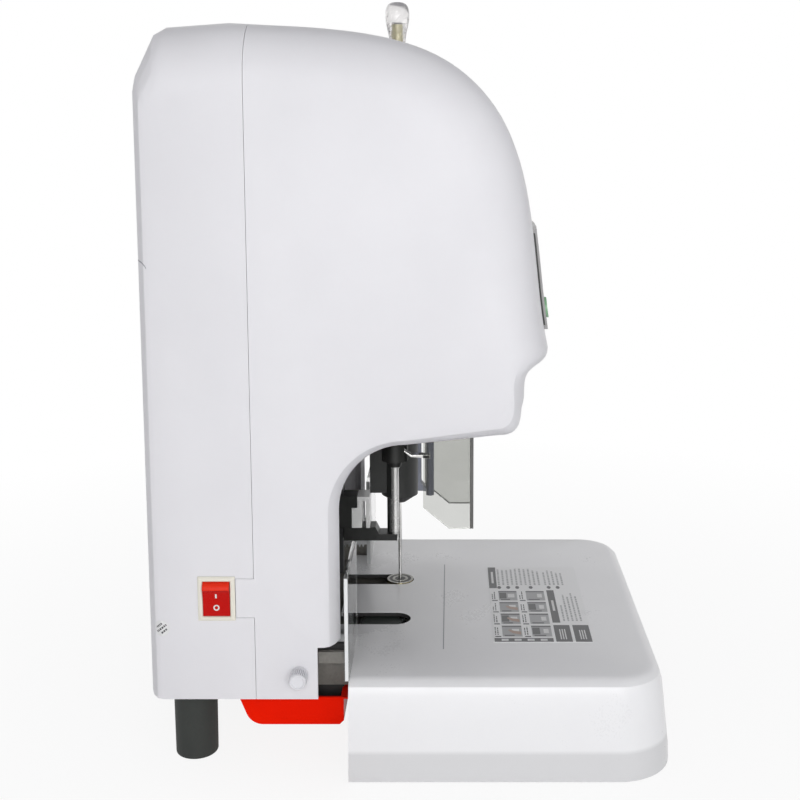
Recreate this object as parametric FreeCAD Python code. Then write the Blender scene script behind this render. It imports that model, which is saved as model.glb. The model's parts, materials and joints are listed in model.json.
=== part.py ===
import FreeCAD, Part
import math
import os

# Document riveting machine, millimetres.
# X runs across the table, Y from the operator to the rear, Z up from the desk.
# The origin is on the desk, under the middle of the machine.

# Shared clearances
seat_gap = 0.3
fit_gap = 0.05
pass_gap = 2.0
overrun = 5.0

# Body shells
wall = 3.0
column_depth = 137.0
head_reach = 108.6
head_clearance = 175.0
crown_gap = 76.0
crown_round = 35.0
body_side_gap = 18.0
edge_round = 12.0
chin_rise = 6.5
side_chin_rise = 9.0
throat_radius = 44.0
opening_lip = 13.0
notch_depth = 16.7
notch_height = 37.4
parting_depth = 77.5
switch_tab_length = 12.5

# Table
table_overhang = 15.0
table_reach = 198.0
table_depth = 226.0
table_height = 71.0
table_step = 17.0
table_ground_gap = 1.0
table_corner_radius = 40.0
tongue_length = 15.0
tongue_side_gap = 3.0
table_slot_width = 23.0
label_width = 154.0
label_length = 74.0
label_thickness = 0.3
label_centre_x = -9.0
label_front_gap = 50.0

# Work stations
station_spacing = 83.0
pad_shift = 11.0
drill_travel = 71.0
arm_travel = 35.0
tip_clearance = 68.0
arm_clearance = 36.3

# Frame
plate_thickness = 6.0
base_thickness = 8.0
base_front_gap = 44.0
back_plate_thickness = 8.0
frame_column_gap = 23.0
frame_head_share = 0.8327
head_plate_thickness = 8.0
head_floor_gap = 11.0
carriage_rest_gap = 3.0
roof_gap = 8.5

# Drives
rod_radius = 5.0
rod_spacing = 54.0
rod_gap = 30.0
carriage_thickness = 18.0
carriage_width = 72.0
carriage_front_gap = 18.0
rack_module = 1.5
rack_depth = 6.5
pinion_teeth = 20
pinion_rise_modules = 7
drive_backlash = 0.4
pinion_width = 12.0
feed_motor_radius = 18.0
feed_motor_gap = 1.0
motor_radius = 22.0
motor_height = 52.0
motor_rear_gap = 12.0
belt_centres = 64.0
belt_thickness = 1.5
belt_width = 6.0
spindle_pulley_radius = 18.0
motor_pulley_radius = 10.0
pulley_width = 12.0
spindle_radius = 6.0
chip_bore_radius = 2.6
sleeve_radius = 15.0
sleeve_bore_radius = 11.0
spout_radius = 6.0
spout_bore = 4.5
spout_rise = 12.0

# Paper margin adjuster
fence_gap = 27.2
fence_thickness = 3.1
fence_height = 73.5
fence_length = 75.0
fence_overhang = 9.0
margin_axis_gap = 29.0
margin_axis_rise = 1.7
margin_shaft_radius = 3.0
margin_module = 1.0
margin_teeth = 12
margin_backlash = 0.32
carrier_width = 8.0
carrier_inset = 8.0
carrier_tail = 35.0
knob_radius = 6.3
knob_length = 14.5
knob_ribs = 20
knob_rib_share = 0.08
knob_face_share = 0.85
knob_neck_share = 0.7

# Chip tray
tray_width = 230.0
tray_depth = 79.0
tray_height = 20.0
tray_wall = 2.0
tray_corner_radius = 8.0
tray_side_gap = 7.0
tray_front_gap = 3.5

# Power supply behind the frame
supply_gap = 6.0
supply_depth = 39.0
supply_rear_gap = 19.0

# Front panel
panel_width = 120.0
panel_height = 74.0
panel_place_share = 0.5325
panel_stand = 2.8
panel_thickness = 5.0
key_radius = 7.7
key_stand = 1.7
key_spacing = 64.0

# Depths, from the front of the table to the rear of the body
station_to_rear = (belt_centres + motor_radius + motor_rear_gap + back_plate_thickness
                   + supply_gap + supply_depth + supply_rear_gap)
machine_depth = table_reach + station_to_rear
body_depth = station_to_rear + head_reach
rear_y = machine_depth / 2
front_y = -machine_depth / 2
station_y = rear_y - station_to_rear
pad_y = station_y + pad_shift
column_front_y = rear_y - column_depth
parting_y = rear_y - parting_depth
table_rear_y = front_y + table_depth
motor_y = station_y + belt_centres
back_plate_y = motor_y + motor_radius + motor_rear_gap
frame_rear_y = back_plate_y + back_plate_thickness
frame_column_front_y = column_front_y + frame_column_gap
frame_head_front_y = rear_y - body_depth * frame_head_share
base_front_y = front_y + base_front_gap
rod_y = station_y + rod_gap
carriage_front_y = station_y - carriage_front_gap
pinion_front_y = rod_y - pinion_width / 2
fence_front_y = station_y + fence_gap
margin_axis_y = column_front_y + margin_axis_gap
tray_front_y = column_front_y - tray_front_gap
panel_cut_y = station_y - body_depth / 4

# Widths, from the work stations out to the table
drill_x = -station_spacing / 2
rivet_x = station_spacing / 2
pinion_radius = rack_module * pinion_teeth / 2
pinion_x = station_spacing / 2 + carriage_width / 2 + rack_depth + pinion_radius
frame_inner = pinion_x + feed_motor_radius + feed_motor_gap
frame_half = frame_inner + plate_thickness
body_half = frame_half + body_side_gap
crown_half = body_half - crown_round
machine_width = 2 * (body_half + table_overhang)
tongue_half = frame_inner - carrier_inset - carrier_width - tongue_side_gap

# Heights, from the desk to the top of the head
foot_height = table_height - table_step
body_floor_z = foot_height
base_top_z = body_floor_z + base_thickness
head_bottom_z = body_floor_z + head_clearance
head_floor_z = head_bottom_z + head_floor_gap
head_floor_top = head_floor_z + head_plate_thickness
carriage_bottom_z = head_floor_top + drill_travel + carriage_rest_gap
carriage_top_z = carriage_bottom_z + carriage_thickness
pinion_z = carriage_bottom_z + rack_module * pinion_rise_modules
sleeve_top_z = carriage_top_z + 2 * head_plate_thickness
pulley_bottom_z = carriage_top_z + motor_height + belt_thickness
pulley_top_z = pulley_bottom_z + pulley_width
spout_z = pulley_top_z + spout_rise
head_roof_bottom = spout_z + spout_radius + roof_gap
frame_top_z = head_roof_bottom + head_plate_thickness
body_height = frame_top_z + crown_gap - body_floor_z
drill_tip_height = table_height + tip_clearance
punch_tip_height = table_height + tip_clearance
arm_bottom_height = table_height + arm_clearance
margin_axis_z = table_height + margin_axis_rise
panel_bottom_z = body_floor_z + body_height * panel_place_share


def vec(x, y, z):
    return FreeCAD.Vector(x, y, z)


def box(x0, x1, y0, y1, z0, z1):
    return Part.makeBox(x1 - x0, y1 - y0, z1 - z0, vec(x0, y0, z0))


def disc_z(x, y, z0, z1, radius):
    return Part.makeCylinder(radius, z1 - z0, vec(x, y, z0), vec(0, 0, 1))


def disc_y(x, z, y0, y1, radius):
    return Part.makeCylinder(radius, y1 - y0, vec(x, y0, z), vec(0, 1, 0))


def disc_x(y, z, x0, x1, radius):
    return Part.makeCylinder(radius, x1 - x0, vec(x0, y, z), vec(1, 0, 0))


def cone_z(x, y, z0, z1, radius0, radius1):
    return Part.makeCone(radius0, radius1, z1 - z0, vec(x, y, z0), vec(0, 0, 1))


def tube_z(x, y, z0, z1, outer, inner):
    bore = disc_z(x, y, z0 - overrun, z1 + overrun, inner)
    return disc_z(x, y, z0, z1, outer).cut(bore)


def prism_x(points, x0, x1):
    wire = Part.makePolygon([vec(x0, y, z) for y, z in points + points[:1]])
    return Part.Face(wire).extrude(vec(x1 - x0, 0, 0))


def prism_y(points, y0, y1):
    wire = Part.makePolygon([vec(x, y0, z) for x, z in points + points[:1]])
    return Part.Face(wire).extrude(vec(0, y1 - y0, 0))


def prism_z(points, z0, z1):
    wire = Part.makePolygon([vec(x, y, z0) for x, y in points + points[:1]])
    return Part.Face(wire).extrude(vec(0, 0, z1 - z0))


def fused(shapes):
    whole = shapes[0]
    for shape in shapes[1:]:
        whole = whole.fuse(shape)
    return whole.removeSplitter()


def less(shape, tools):
    for tool in tools:
        shape = shape.cut(tool)
    return shape


def mirrored(shape):
    return shape.mirror(vec(0, 0, 0), vec(1, 0, 0))


def moved(shape, x, y, z):
    copy = shape.copy()
    copy.translate(vec(x, y, z))
    return copy


# Body outline, as shares of the body's depth from the rear and of its height.
# The crown is the widest outline, the side is the edge of the flat side face,
# and the middle is the bulge of the front at the machine's centre.
crown_shares = [
    (0.0, 0.0), (0.0, 0.907), (0.006, 0.926), (0.054, 0.985), (0.079, 0.9935), (0.230, 1.0),
    (0.558, 0.985), (0.772, 0.939), (0.885, 0.866), (0.954, 0.725), (0.996, 0.528),
    (0.981, 0.504), (0.948, 0.484), (0.940, 0.463), (0.939, 0.429), (0.927, 0.402),
]
side_shares = [
    (0.047, 0.0), (0.047, 0.872), (0.051, 0.882), (0.078, 0.903), (0.105, 0.908), (0.280, 0.913),
    (0.531, 0.903), (0.682, 0.872), (0.768, 0.823), (0.826, 0.717), (0.897, 0.530),
    (0.900, 0.511), (0.902, 0.489), (0.903, 0.468), (0.9045, 0.449), (0.897, 0.435),
]
middle_shares = [
    (0.0, 0.0), (0.0, 0.907), (0.006, 0.926), (0.054, 0.985), (0.079, 0.9935), (0.230, 1.0),
    (0.558, 0.985), (0.772, 0.939), (0.891, 0.866), (0.974, 0.725), (1.028, 0.491),
    (1.011, 0.472), (0.977, 0.457), (0.966, 0.444), (0.964, 0.424), (0.944, 0.401),
]
chin_share = 0.887
side_chin_share = 0.869
crown_start = 5
crown_end = 10
chin_end = 16


def mixed(points_a, points_b, share):
    pairs = zip(points_a, points_b)
    return [(a[0] + (b[0] - a[0]) * share, a[1] + (b[1] - a[1]) * share) for a, b in pairs]


def outline_points(shares, chin, rise, rounding):
    # The list goes up the rear, over the top, down the front and back under the head.
    points = [(rear_y - d * body_depth, body_floor_z + h * body_height) for d, h in shares]
    centre_y = column_front_y - throat_radius
    centre_z = head_bottom_z - throat_radius
    radius = throat_radius + rounding
    points.append((rear_y - chin * body_depth, head_bottom_z + rise + rounding))
    points.append((centre_y, centre_z + radius))
    diagonal = radius * math.sqrt(2) / 2
    points.append((centre_y + diagonal, centre_z + diagonal))
    points.append((centre_y + radius, centre_z))
    points.append((centre_y + radius, body_floor_z))
    return points


def inset_points(points, amount):
    # Each corner moves along the bisector, so that both its sides move by the amount.
    result = []
    count = len(points)
    for i in range(count):
        y0, z0 = points[i - 1]
        y1, z1 = points[i]
        y2, z2 = points[(i + 1) % count]
        length_a = math.hypot(y1 - y0, z1 - z0)
        length_b = math.hypot(y2 - y1, z2 - z1)
        normal_a = ((z1 - z0) / length_a, -(y1 - y0) / length_a)
        normal_b = ((z2 - z1) / length_b, -(y2 - y1) / length_b)
        spread = 1 + normal_a[0] * normal_b[0] + normal_a[1] * normal_b[1]
        shift_y = (normal_a[0] + normal_b[0]) / spread
        shift_z = (normal_a[1] + normal_b[1]) / spread
        result.append((y1 - shift_y * amount, z1 - shift_z * amount))
    return result


def body_wire(x, points):
    corners = [vec(x, y, z) for y, z in points]
    edges = []
    for i in range(crown_start):
        edges.append(Part.makeLine(corners[i], corners[i + 1]))
    for first, last in ((crown_start, crown_end), (crown_end, chin_end)):
        curve = Part.BSplineCurve()
        curve.interpolate(corners[first:last + 1])
        edges.append(curve.toShape())
    arc_start = chin_end + 1
    edges.append(Part.makeLine(corners[chin_end], corners[arc_start]))
    edges.append(Part.Arc(corners[arc_start], corners[arc_start + 1], corners[arc_start + 2]).toShape())
    edges.append(Part.makeLine(corners[-2], corners[-1]))
    edges.append(Part.makeLine(corners[-1], corners[0]))
    return Part.Wire(edges)


def body_solid(inset, floor_drop):
    crown = outline_points(crown_shares, chin_share, chin_rise, 0)
    side = outline_points(side_shares, side_chin_share, side_chin_rise, edge_round)
    middle = outline_points(middle_shares, chin_share, chin_rise, 0)
    stations = []
    strips = 5
    for i in range(strips + 1):
        angle = math.pi / 2 * i / strips
        x = crown_half + (body_half - inset - crown_half) * math.cos(angle)
        stations.append((x, mixed(side, crown, math.sin(angle))))
    inner_strips = 3
    for i in range(1, inner_strips + 1):
        across_share = 1 - i / inner_strips
        stations.append((crown_half * across_share, mixed(middle, crown, across_share ** 2)))
    half_count = len(stations)
    stations = stations + [(-x, points) for x, points in reversed(stations[:half_count - 1])]
    wires = []
    for x, points in stations:
        shaped = inset_points(points, inset) if inset else points
        low = list(shaped)
        low[0] = (low[0][0], body_floor_z - floor_drop)
        low[-1] = (low[-1][0], body_floor_z - floor_drop)
        wires.append(body_wire(x, low))
    return Part.makeLoft(wires, True, True)


outer_body = body_solid(0, 0)
inner_body = body_solid(wall, overrun)


def body_shell():
    shell = outer_body.cut(inner_body)
    opening_half = frame_half + pass_gap
    opening_front = rear_y - chin_share * body_depth + opening_lip
    opening_rear = column_front_y + wall + overrun
    mouth = box(-opening_half, opening_half, opening_front, opening_rear,
                body_floor_z - overrun, head_floor_z)
    notch_rear = column_front_y + notch_depth
    notch = box(-body_half - overrun, body_half + overrun, opening_front, notch_rear,
                body_floor_z - overrun, body_floor_z + notch_height)
    margin_hole = disc_x(margin_axis_y, margin_axis_z, -body_half - overrun, -frame_half,
                         margin_shaft_radius + 2 * seat_gap)
    return less(shell, [mouth, notch, margin_hole])


# Switch and inlet sizes
switch_width = 25.6
switch_height = 31.4
switch_bezel_thickness = 2.0
switch_case_width = 21.6
switch_case_height = 27.6
switch_case_depth = 14.0
switch_rear_gap = 39.1
rocker_width = 18.4
rocker_height = 24.0
rocker_rise = 3.4
rocker_tilt_deg = 12.0
rocker_face_share = 0.9
rocker_back_share = 0.82
rocker_axis_depth = 4.0
rocker_pin_radius = 1.2
rocker_pin_length = 1.2
switch_rise = 73.0
switch_z = body_floor_z + switch_rise
switch_y = rear_y - switch_rear_gap - switch_width / 2
rocker_axis_x = -body_half + rocker_axis_depth
inlet_width = 31.0
inlet_height = 24.0
inlet_flange = 1.5
inlet_case_width = 27.0
inlet_case_height = 20.0
inlet_depth = 22.0
inlet_socket_width = 23.0
inlet_socket_height = 15.0
inlet_socket_depth = 16.0
inlet_side_gap = 58.0
inlet_rise = 42.0
inlet_x = body_half - inlet_side_gap
inlet_z = body_floor_z + inlet_rise
inlet_pin_width = 2.0
inlet_pin_height = 4.0
inlet_pin_spacing = 7.0
vent_width = 40.0
vent_height = 3.0
vent_pitch = 9.0
vent_spacing = 48.0
vent_count = 6
vent_place_share = 0.597
vent_z = body_floor_z + body_height * vent_place_share
screw_hole_radius = 1.7
screw_radius = 1.5
screw_head_radius = 3.2
screw_head_height = 1.6
screw_length = 9.0
screw_inset = 9.0
screw_x = crown_half - screw_inset
screw_height_shares = (0.052, 0.8355)


def switch_tab_box(growth):
    return box(-body_half - overrun, -frame_half, parting_y - overrun, parting_y + switch_tab_length + growth,
               switch_z - switch_case_height / 2 - growth, switch_z + switch_case_height / 2 + growth)


def front_half_space(growth):
    return box(-body_half - overrun, body_half + overrun, front_y, parting_y + growth,
               0, body_floor_z + body_height + overrun)


# Cleaning rod on top of the head
rod_knob_share = 0.6174
rod_base_share = 0.981
rod_knob_height = 32.3
rod_knob_radius = 9.1
rod_core_radius = 4.4
rod_core_share = 0.50
rod_bore_share = 0.54
cleaning_rod_radius = 2.0
rod_boss_radius = 6.0
rod_boss_depth = 37.2
rod_frame_gap = 6.0
rod_knob_y = rear_y - body_depth * rod_knob_share
rod_knob_base_z = body_floor_z + body_height * rod_base_share
rod_boss_bottom_z = rod_knob_base_z - rod_boss_depth
cleaning_rod_bottom_z = frame_top_z + rod_frame_gap


def front_cover():
    shell = body_shell().common(front_half_space(-seat_gap / 2).fuse(switch_tab_box(0)))
    panel_half = panel_width / 2
    panel_hole = box(-panel_half, panel_half, front_y, panel_cut_y,
                     panel_bottom_z, panel_bottom_z + panel_height)
    boss = disc_z(0, rod_knob_y, rod_boss_bottom_z, body_floor_z + body_height, rod_boss_radius)
    boss = boss.common(outer_body)
    bore = disc_z(0, rod_knob_y, rod_boss_bottom_z - overrun, body_floor_z + body_height + overrun,
                  cleaning_rod_radius + fit_gap)
    return less(fused([shell.cut(panel_hole), boss]), [bore])


def rear_cover():
    shell = less(body_shell(), [front_half_space(seat_gap / 2), switch_tab_box(seat_gap)])
    switch_hole = box(-body_half - overrun, -frame_half - seat_gap,
                      switch_y - switch_case_width / 2 - seat_gap, switch_y + switch_case_width / 2 + seat_gap,
                      switch_z - switch_case_height / 2 - seat_gap, switch_z + switch_case_height / 2 + seat_gap)
    inlet_hole = box(inlet_x - inlet_case_width / 2 - seat_gap, inlet_x + inlet_case_width / 2 + seat_gap,
                     rear_y - 2 * wall, rear_y + overrun,
                     inlet_z - inlet_case_height / 2 - seat_gap, inlet_z + inlet_case_height / 2 + seat_gap)
    inlet_recess = box(inlet_x - inlet_width / 2 - seat_gap, inlet_x + inlet_width / 2 + seat_gap,
                       rear_y - inlet_flange - fit_gap, rear_y + overrun,
                       inlet_z - inlet_height / 2 - seat_gap, inlet_z + inlet_height / 2 + seat_gap)
    cuts = [switch_hole, inlet_hole, inlet_recess]
    for column in (-1, 0, 1):
        middle = column * vent_spacing
        for i in range(vent_count):
            low = vent_z + i * vent_pitch
            cuts.append(box(middle - vent_width / 2, middle + vent_width / 2,
                            rear_y - 2 * wall, rear_y + overrun, low, low + vent_height))
    for x, z in screw_places():
        cuts.append(disc_y(x, z, rear_y - 2 * wall, rear_y + overrun, screw_hole_radius))
        cuts.append(disc_y(x, z, rear_y - screw_head_height - fit_gap, rear_y + overrun,
                           screw_head_radius + seat_gap))
    return less(shell, cuts)


def screw_places():
    heights = [body_floor_z + body_height * share for share in screw_height_shares]
    return [(side * screw_x, z) for side in (-1, 1) for z in heights]


def cover_screws():
    screws = []
    for x, z in screw_places():
        shank = disc_y(x, z, rear_y - screw_length, rear_y - screw_head_height / 2, screw_radius)
        head = disc_y(x, z, rear_y - screw_head_height, rear_y, screw_head_radius)
        slot = box(x - screw_head_radius, x + screw_head_radius, rear_y - screw_head_height / 2,
                   rear_y + overrun, z - screw_head_height / 4, z + screw_head_height / 4)
        screws.append(fused([shank, head]).cut(slot))
    return Part.Compound(screws)


# Table cover: shares of its height, with the inset of the plan outline there as a share of its width
table_profile_shares = [(0.0, 0.0), (0.18, 0.0016), (0.84, 0.018), (0.93, 0.0242), (0.98, 0.0366), (1.0, 0.051)]


def table_wire(half_width, front, rear, radius, z):
    right = [vec(half_width, rear, z), vec(half_width, front + radius, z)]
    diagonal = radius * (1 - math.sqrt(2) / 2)
    bend_right = Part.Arc(right[1], vec(half_width - diagonal, front + diagonal, z),
                          vec(half_width - radius, front, z))
    bend_left = Part.Arc(vec(-half_width + radius, front, z), vec(-half_width + diagonal, front + diagonal, z),
                         vec(-half_width, front + radius, z))
    edges = [
        Part.makeLine(right[0], right[1]),
        bend_right.toShape(),
        Part.makeLine(vec(half_width - radius, front, z), vec(-half_width + radius, front, z)),
        bend_left.toShape(),
        Part.makeLine(vec(-half_width, front + radius, z), vec(-half_width, rear, z)),
        Part.makeLine(vec(-half_width, rear, z), vec(half_width, rear, z)),
    ]
    return Part.Wire(edges)


def table_solid(inset, rear):
    rise = table_height - table_ground_gap - inset
    wires = []
    for height_share, narrowing_share in table_profile_shares:
        z = table_ground_gap + rise * height_share
        if inset and height_share == 0:
            z = table_ground_gap - overrun
        edge = inset + narrowing_share * machine_width
        radius = table_corner_radius - edge
        wires.append(table_wire(machine_width / 2 - edge, front_y + edge, rear, radius, z))
    return Part.makeLoft(wires, True, True)


def station_slot(x, y):
    half = table_slot_width / 2
    round_end = disc_z(x, y, table_height - wall - overrun, table_height + overrun, half)
    run = box(x - half, x + half, y, table_rear_y + tongue_length + overrun,
              table_height - wall - overrun, table_height + overrun)
    return round_end.fuse(run)


def table_cover():
    shell = table_solid(0, table_rear_y).cut(table_solid(wall, table_rear_y + overrun))
    tongue = box(-tongue_half, tongue_half, table_rear_y - wall, table_rear_y + tongue_length,
                 table_height - wall, table_height)
    return less(fused([shell, tongue]), [station_slot(drill_x, station_y), station_slot(rivet_x, station_y)])


def table_label():
    front = front_y + label_front_gap
    return box(label_centre_x - label_width / 2, label_centre_x + label_width / 2,
               front, front + label_length, table_height, table_height + label_thickness)


# Feet and base casting
foot_top_radius = 15.4
foot_bottom_radius = 15.0
foot_edge = 2.0
rear_foot_side_gap = 31.4
rear_foot_gap = 29.0
front_foot_side_gap = 59.0
front_foot_gap = 66.0
rear_foot_x = body_half - rear_foot_side_gap
rear_foot_y = rear_y - rear_foot_gap
front_foot_x = machine_width / 2 - front_foot_side_gap
front_foot_y = front_y + front_foot_gap
pad_margin = 1.6
boss_radius = 6.0
boss_side_gap = 62.0
boss_gaps = (164.0, 74.0)
boss_x = machine_width / 2 - boss_side_gap
rib_thickness = 8.0
rib_length = 22.0
rib_height = 24.0
rib_gap = 2.0
rib_y = column_front_y - rib_gap
throat_plate_rise = 14.4
lug_width = 20.0
lug_gaps = (98.0, 44.0)
duct_width = 18.0
duct_depth = 20.0
duct_wall = 1.2
guide_post_gap = 14.0
guide_post_y = margin_axis_y + guide_post_gap
rack_pitch_z = margin_axis_z + margin_module * margin_teeth / 2
guide_post_top = rack_pitch_z - margin_module - seat_gap


def foot_places():
    rear = [(side * rear_foot_x, rear_foot_y) for side in (-1, 1)]
    front = [(side * front_foot_x, front_foot_y) for side in (-1, 1)]
    return rear + front


def feet():
    solids = []
    for x, y in foot_places():
        post = cone_z(x, y, 0, foot_height, foot_bottom_radius, foot_top_radius)
        rim = [edge for edge in post.Edges if abs(edge.BoundBox.ZMax) < foot_edge / 10]
        solids.append(post.makeFillet(foot_edge, rim))
    return Part.Compound(solids)


def duct_clearance(growth):
    return (-duct_width / 2 - growth, duct_width / 2 + growth, back_plate_y - duct_depth - growth, back_plate_y)


def base_casting():
    base_rear = rear_y - wall - base_thickness / 4
    solids = [box(-frame_inner, frame_inner, base_front_y, base_rear, body_floor_z, base_top_z)]
    for x, y in foot_places():
        solids.append(disc_z(x, y, body_floor_z, base_top_z, foot_top_radius + pad_margin))
    for side in (-1, 1):
        for gap in boss_gaps:
            solids.append(disc_z(side * boss_x, front_y + gap, body_floor_z, table_height - wall, boss_radius))
        rib_outer = frame_inner + wall / 2
        low, high = sorted((side * (rib_outer - rib_thickness), side * rib_outer))
        solids.append(box(low, high, rib_y, rib_y + rib_length, body_floor_z, body_floor_z + rib_height))
        low, high = sorted((side * (frame_inner - overrun), side * (body_half - wall - seat_gap)))
        for gap in lug_gaps:
            solids.append(box(low, high, rear_y - gap, rear_y - gap + lug_width, body_floor_z, base_top_z))
    x0, x1, y0, y1 = duct_clearance(seat_gap)
    hole = box(x0, x1, y0, y1 + seat_gap, body_floor_z - overrun, base_top_z + overrun)
    carrier_middle = frame_inner - carrier_inset - carrier_width / 2
    for side in (-1, 1):
        post = box(side * carrier_middle - carrier_width / 2, side * carrier_middle + carrier_width / 2,
                   guide_post_y, guide_post_y + carrier_width, base_top_z - wall, guide_post_top)
        solids.append(post)
    return fused(solids).cut(hole)


# Frame
def side_plates():
    outline = [
        (frame_column_front_y, base_top_z), (frame_rear_y, base_top_z), (frame_rear_y, frame_top_z),
        (frame_head_front_y, frame_top_z), (frame_head_front_y, head_floor_z),
        (frame_column_front_y, head_floor_z),
    ]
    plate = prism_x(outline, frame_inner, frame_half)
    window_top = head_roof_bottom - 4 * plate_thickness
    window = box(frame_inner - overrun, frame_half + overrun, frame_head_front_y + 4 * plate_thickness,
                 frame_column_front_y, head_floor_top + 4 * plate_thickness, window_top)
    shaft_hole = disc_x(margin_axis_y, margin_axis_z, frame_inner - overrun, frame_half + overrun,
                        margin_shaft_radius + fit_gap)
    plate = less(plate, [window, shaft_hole])
    return Part.Compound([plate, mirrored(plate)])


board_width = 140.0
board_height = 110.0
board_thickness = 1.6
board_rise = 148.0
board_gap = 30.0
board_inset = 8.0
standoff_radius = 3.5
board_y = frame_rear_y + board_gap
board_bottom_z = base_top_z + board_rise


def back_plate():
    plate = box(-frame_inner, frame_inner, back_plate_y, frame_rear_y, base_top_z, frame_top_z)
    solids = [plate]
    for side in (-1, 1):
        for z in (board_bottom_z + board_inset, board_bottom_z + board_height - board_inset):
            solids.append(disc_y(side * (board_width / 2 - board_inset), z, frame_rear_y - wall, board_y,
                                 standoff_radius))
    return fused(solids)


def lower_head_plate():
    plate = box(-frame_inner, frame_inner, frame_head_front_y, back_plate_y, head_floor_z, head_floor_top)
    under = head_floor_z - overrun
    over = head_floor_top + overrun
    sleeve_hole = disc_z(drill_x, station_y, under, over, sleeve_radius + pass_gap)
    rivet_hole = disc_z(rivet_x, station_y, under, over, rivet_head_radius + pass_gap)
    block_hole = box(rivet_x - rivet_block_half - pass_gap, rivet_x + rivet_block_half + pass_gap,
                     station_y, rivet_block_rear + pass_gap, under, over)
    x0, x1, y0, y1 = duct_clearance(seat_gap)
    duct_hole = box(x0, x1, y0, y1 + overrun, under, over)
    return less(plate, [sleeve_hole, rivet_hole, block_hole, duct_hole])


def upper_head_plate():
    return box(-frame_inner, frame_inner, frame_head_front_y, back_plate_y, head_roof_bottom, frame_top_z)


def throat_plate():
    bottom = guide_post_top + throat_plate_rise
    return box(-frame_half, frame_half, frame_column_front_y - wall, frame_column_front_y,
               bottom, head_floor_z)


def guide_rods():
    rods = []
    for middle in (drill_x, rivet_x):
        for side in (-1, 1):
            x = middle + side * rod_spacing / 2
            rods.append(disc_z(x, rod_y, head_floor_top, head_roof_bottom, rod_radius))
    return Part.Compound(rods)


# Gears and racks
pressure_angle = math.radians(20)
root_share = 1.25
flank_tip_share = 1.15
flank_root_share = 0.55


def gear_points(module, teeth, backlash):
    # A tooth stands at angle zero; the flanks run from the root through the pitch circle to the tip.
    pitch = module * teeth / 2
    tip = pitch + module
    root = pitch - root_share * module
    pitch_half = module * math.pi / 4 - backlash / 2
    tip_half = pitch_half - module * math.tan(pressure_angle) * flank_tip_share
    root_half = pitch_half + root_share * module * math.tan(pressure_angle) * flank_root_share
    points = []
    for i in range(teeth):
        middle = 2 * math.pi * i / teeth
        for radius, half in ((root, -root_half), (pitch, -pitch_half), (tip, -tip_half),
                             (tip, tip_half), (pitch, pitch_half), (root, root_half)):
            angle = middle + half / radius
            points.append((radius * math.cos(angle), radius * math.sin(angle)))
    return points


def rack_teeth(module, first, last, middle, backlash):
    # Teeth along the first axis, with a gap at the middle; the second axis is the height over the pitch line.
    pitch = module * math.pi
    half = pitch / 4 - backlash / 2
    tip_half = half - module * math.tan(pressure_angle)
    root_half = half + root_share * module * math.tan(pressure_angle)
    start = math.ceil((first + root_half - middle) / pitch - 0.5)
    points = [(first, -root_share * module)]
    place = middle + (start + 0.5) * pitch
    while place + root_half < last:
        points.append((place - root_half, -root_share * module))
        points.append((place - tip_half, module))
        points.append((place + tip_half, module))
        points.append((place + root_half, -root_share * module))
        place += pitch
    points.append((last, -root_share * module))
    return points


rack_length = 90.0
pinion_shaft_radius = 4.0
motor_front_y = pinion_front_y + pinion_width + wall
pinion_shaft_length = 9.0


def rack(side):
    # The rack stands on the outer side of its carriage and faces the outer wall.
    pitch_x = pinion_x - pinion_radius
    inner_x = station_spacing / 2 + carriage_width / 2
    teeth = rack_teeth(rack_module, carriage_bottom_z, carriage_bottom_z + rack_length, pinion_z, drive_backlash)
    outline = [(side * (pitch_x + height), z) for z, height in teeth]
    outline = outline + [(side * inner_x, carriage_bottom_z + rack_length), (side * inner_x, carriage_bottom_z)]
    return prism_y(outline, pinion_front_y, pinion_front_y + pinion_width)


def pinion(side):
    # One tooth points inwards, at the gap in the rack.
    turn = math.pi if side > 0 else 0
    outline = []
    for u, v in gear_points(rack_module, pinion_teeth, drive_backlash):
        outline.append((side * pinion_x + u * math.cos(turn) - v * math.sin(turn),
                        pinion_z + u * math.sin(turn) + v * math.cos(turn)))
    wheel = prism_y(outline, pinion_front_y, pinion_front_y + pinion_width)
    shaft = disc_y(side * pinion_x, pinion_z, pinion_front_y + pinion_width - wall,
                   motor_front_y + pinion_shaft_length, pinion_shaft_radius)
    return fused([wheel, shaft])


def feed_motors():
    motors = []
    for side in (-1, 1):
        x = side * pinion_x
        gearbox = disc_y(x, pinion_z, motor_front_y, motor_front_y + 2 * pinion_width, feed_motor_radius)
        can = disc_y(x, pinion_z, motor_front_y + 2 * pinion_width - wall, back_plate_y,
                     feed_motor_radius - wall)
        bore = disc_y(x, pinion_z, motor_front_y - overrun, motor_front_y + pinion_shaft_length + wall,
                      pinion_shaft_radius + fit_gap)
        motors.append(fused([gearbox, can]).cut(bore))
    return Part.Compound(motors)


# Drill unit
chuck_gap = 53.0
chuck_nose_height = 5.0
chuck_nose_radius = 4.5
chuck_nose_flare = 1.5
chuck_radius = 10.0
chuck_height = 36.0
drill_radius = 2.3
drill_bore_radius = 1.7
drill_grip = 20.0
sleeve_gap = 4.0
bearing_height = 10.0
sleeve_flange_radius = 19.0
chuck_bottom_z = drill_tip_height + chuck_gap
spindle_bottom_z = chuck_bottom_z + chuck_nose_height + drill_grip
chuck_top_z = chuck_bottom_z + chuck_height
sleeve_bottom_z = chuck_top_z + sleeve_gap
motor_shaft_radius = 3.0


def carriage_plate(middle, rear):
    half = carriage_width / 2
    return box(middle - half, middle + half, carriage_front_y, rear, carriage_bottom_z, carriage_top_z)


def rod_bores(middle):
    under = carriage_bottom_z - overrun
    over = carriage_top_z + overrun
    return [disc_z(middle + side * rod_spacing / 2, rod_y, under, over, rod_radius + fit_gap) for side in (-1, 1)]


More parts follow.
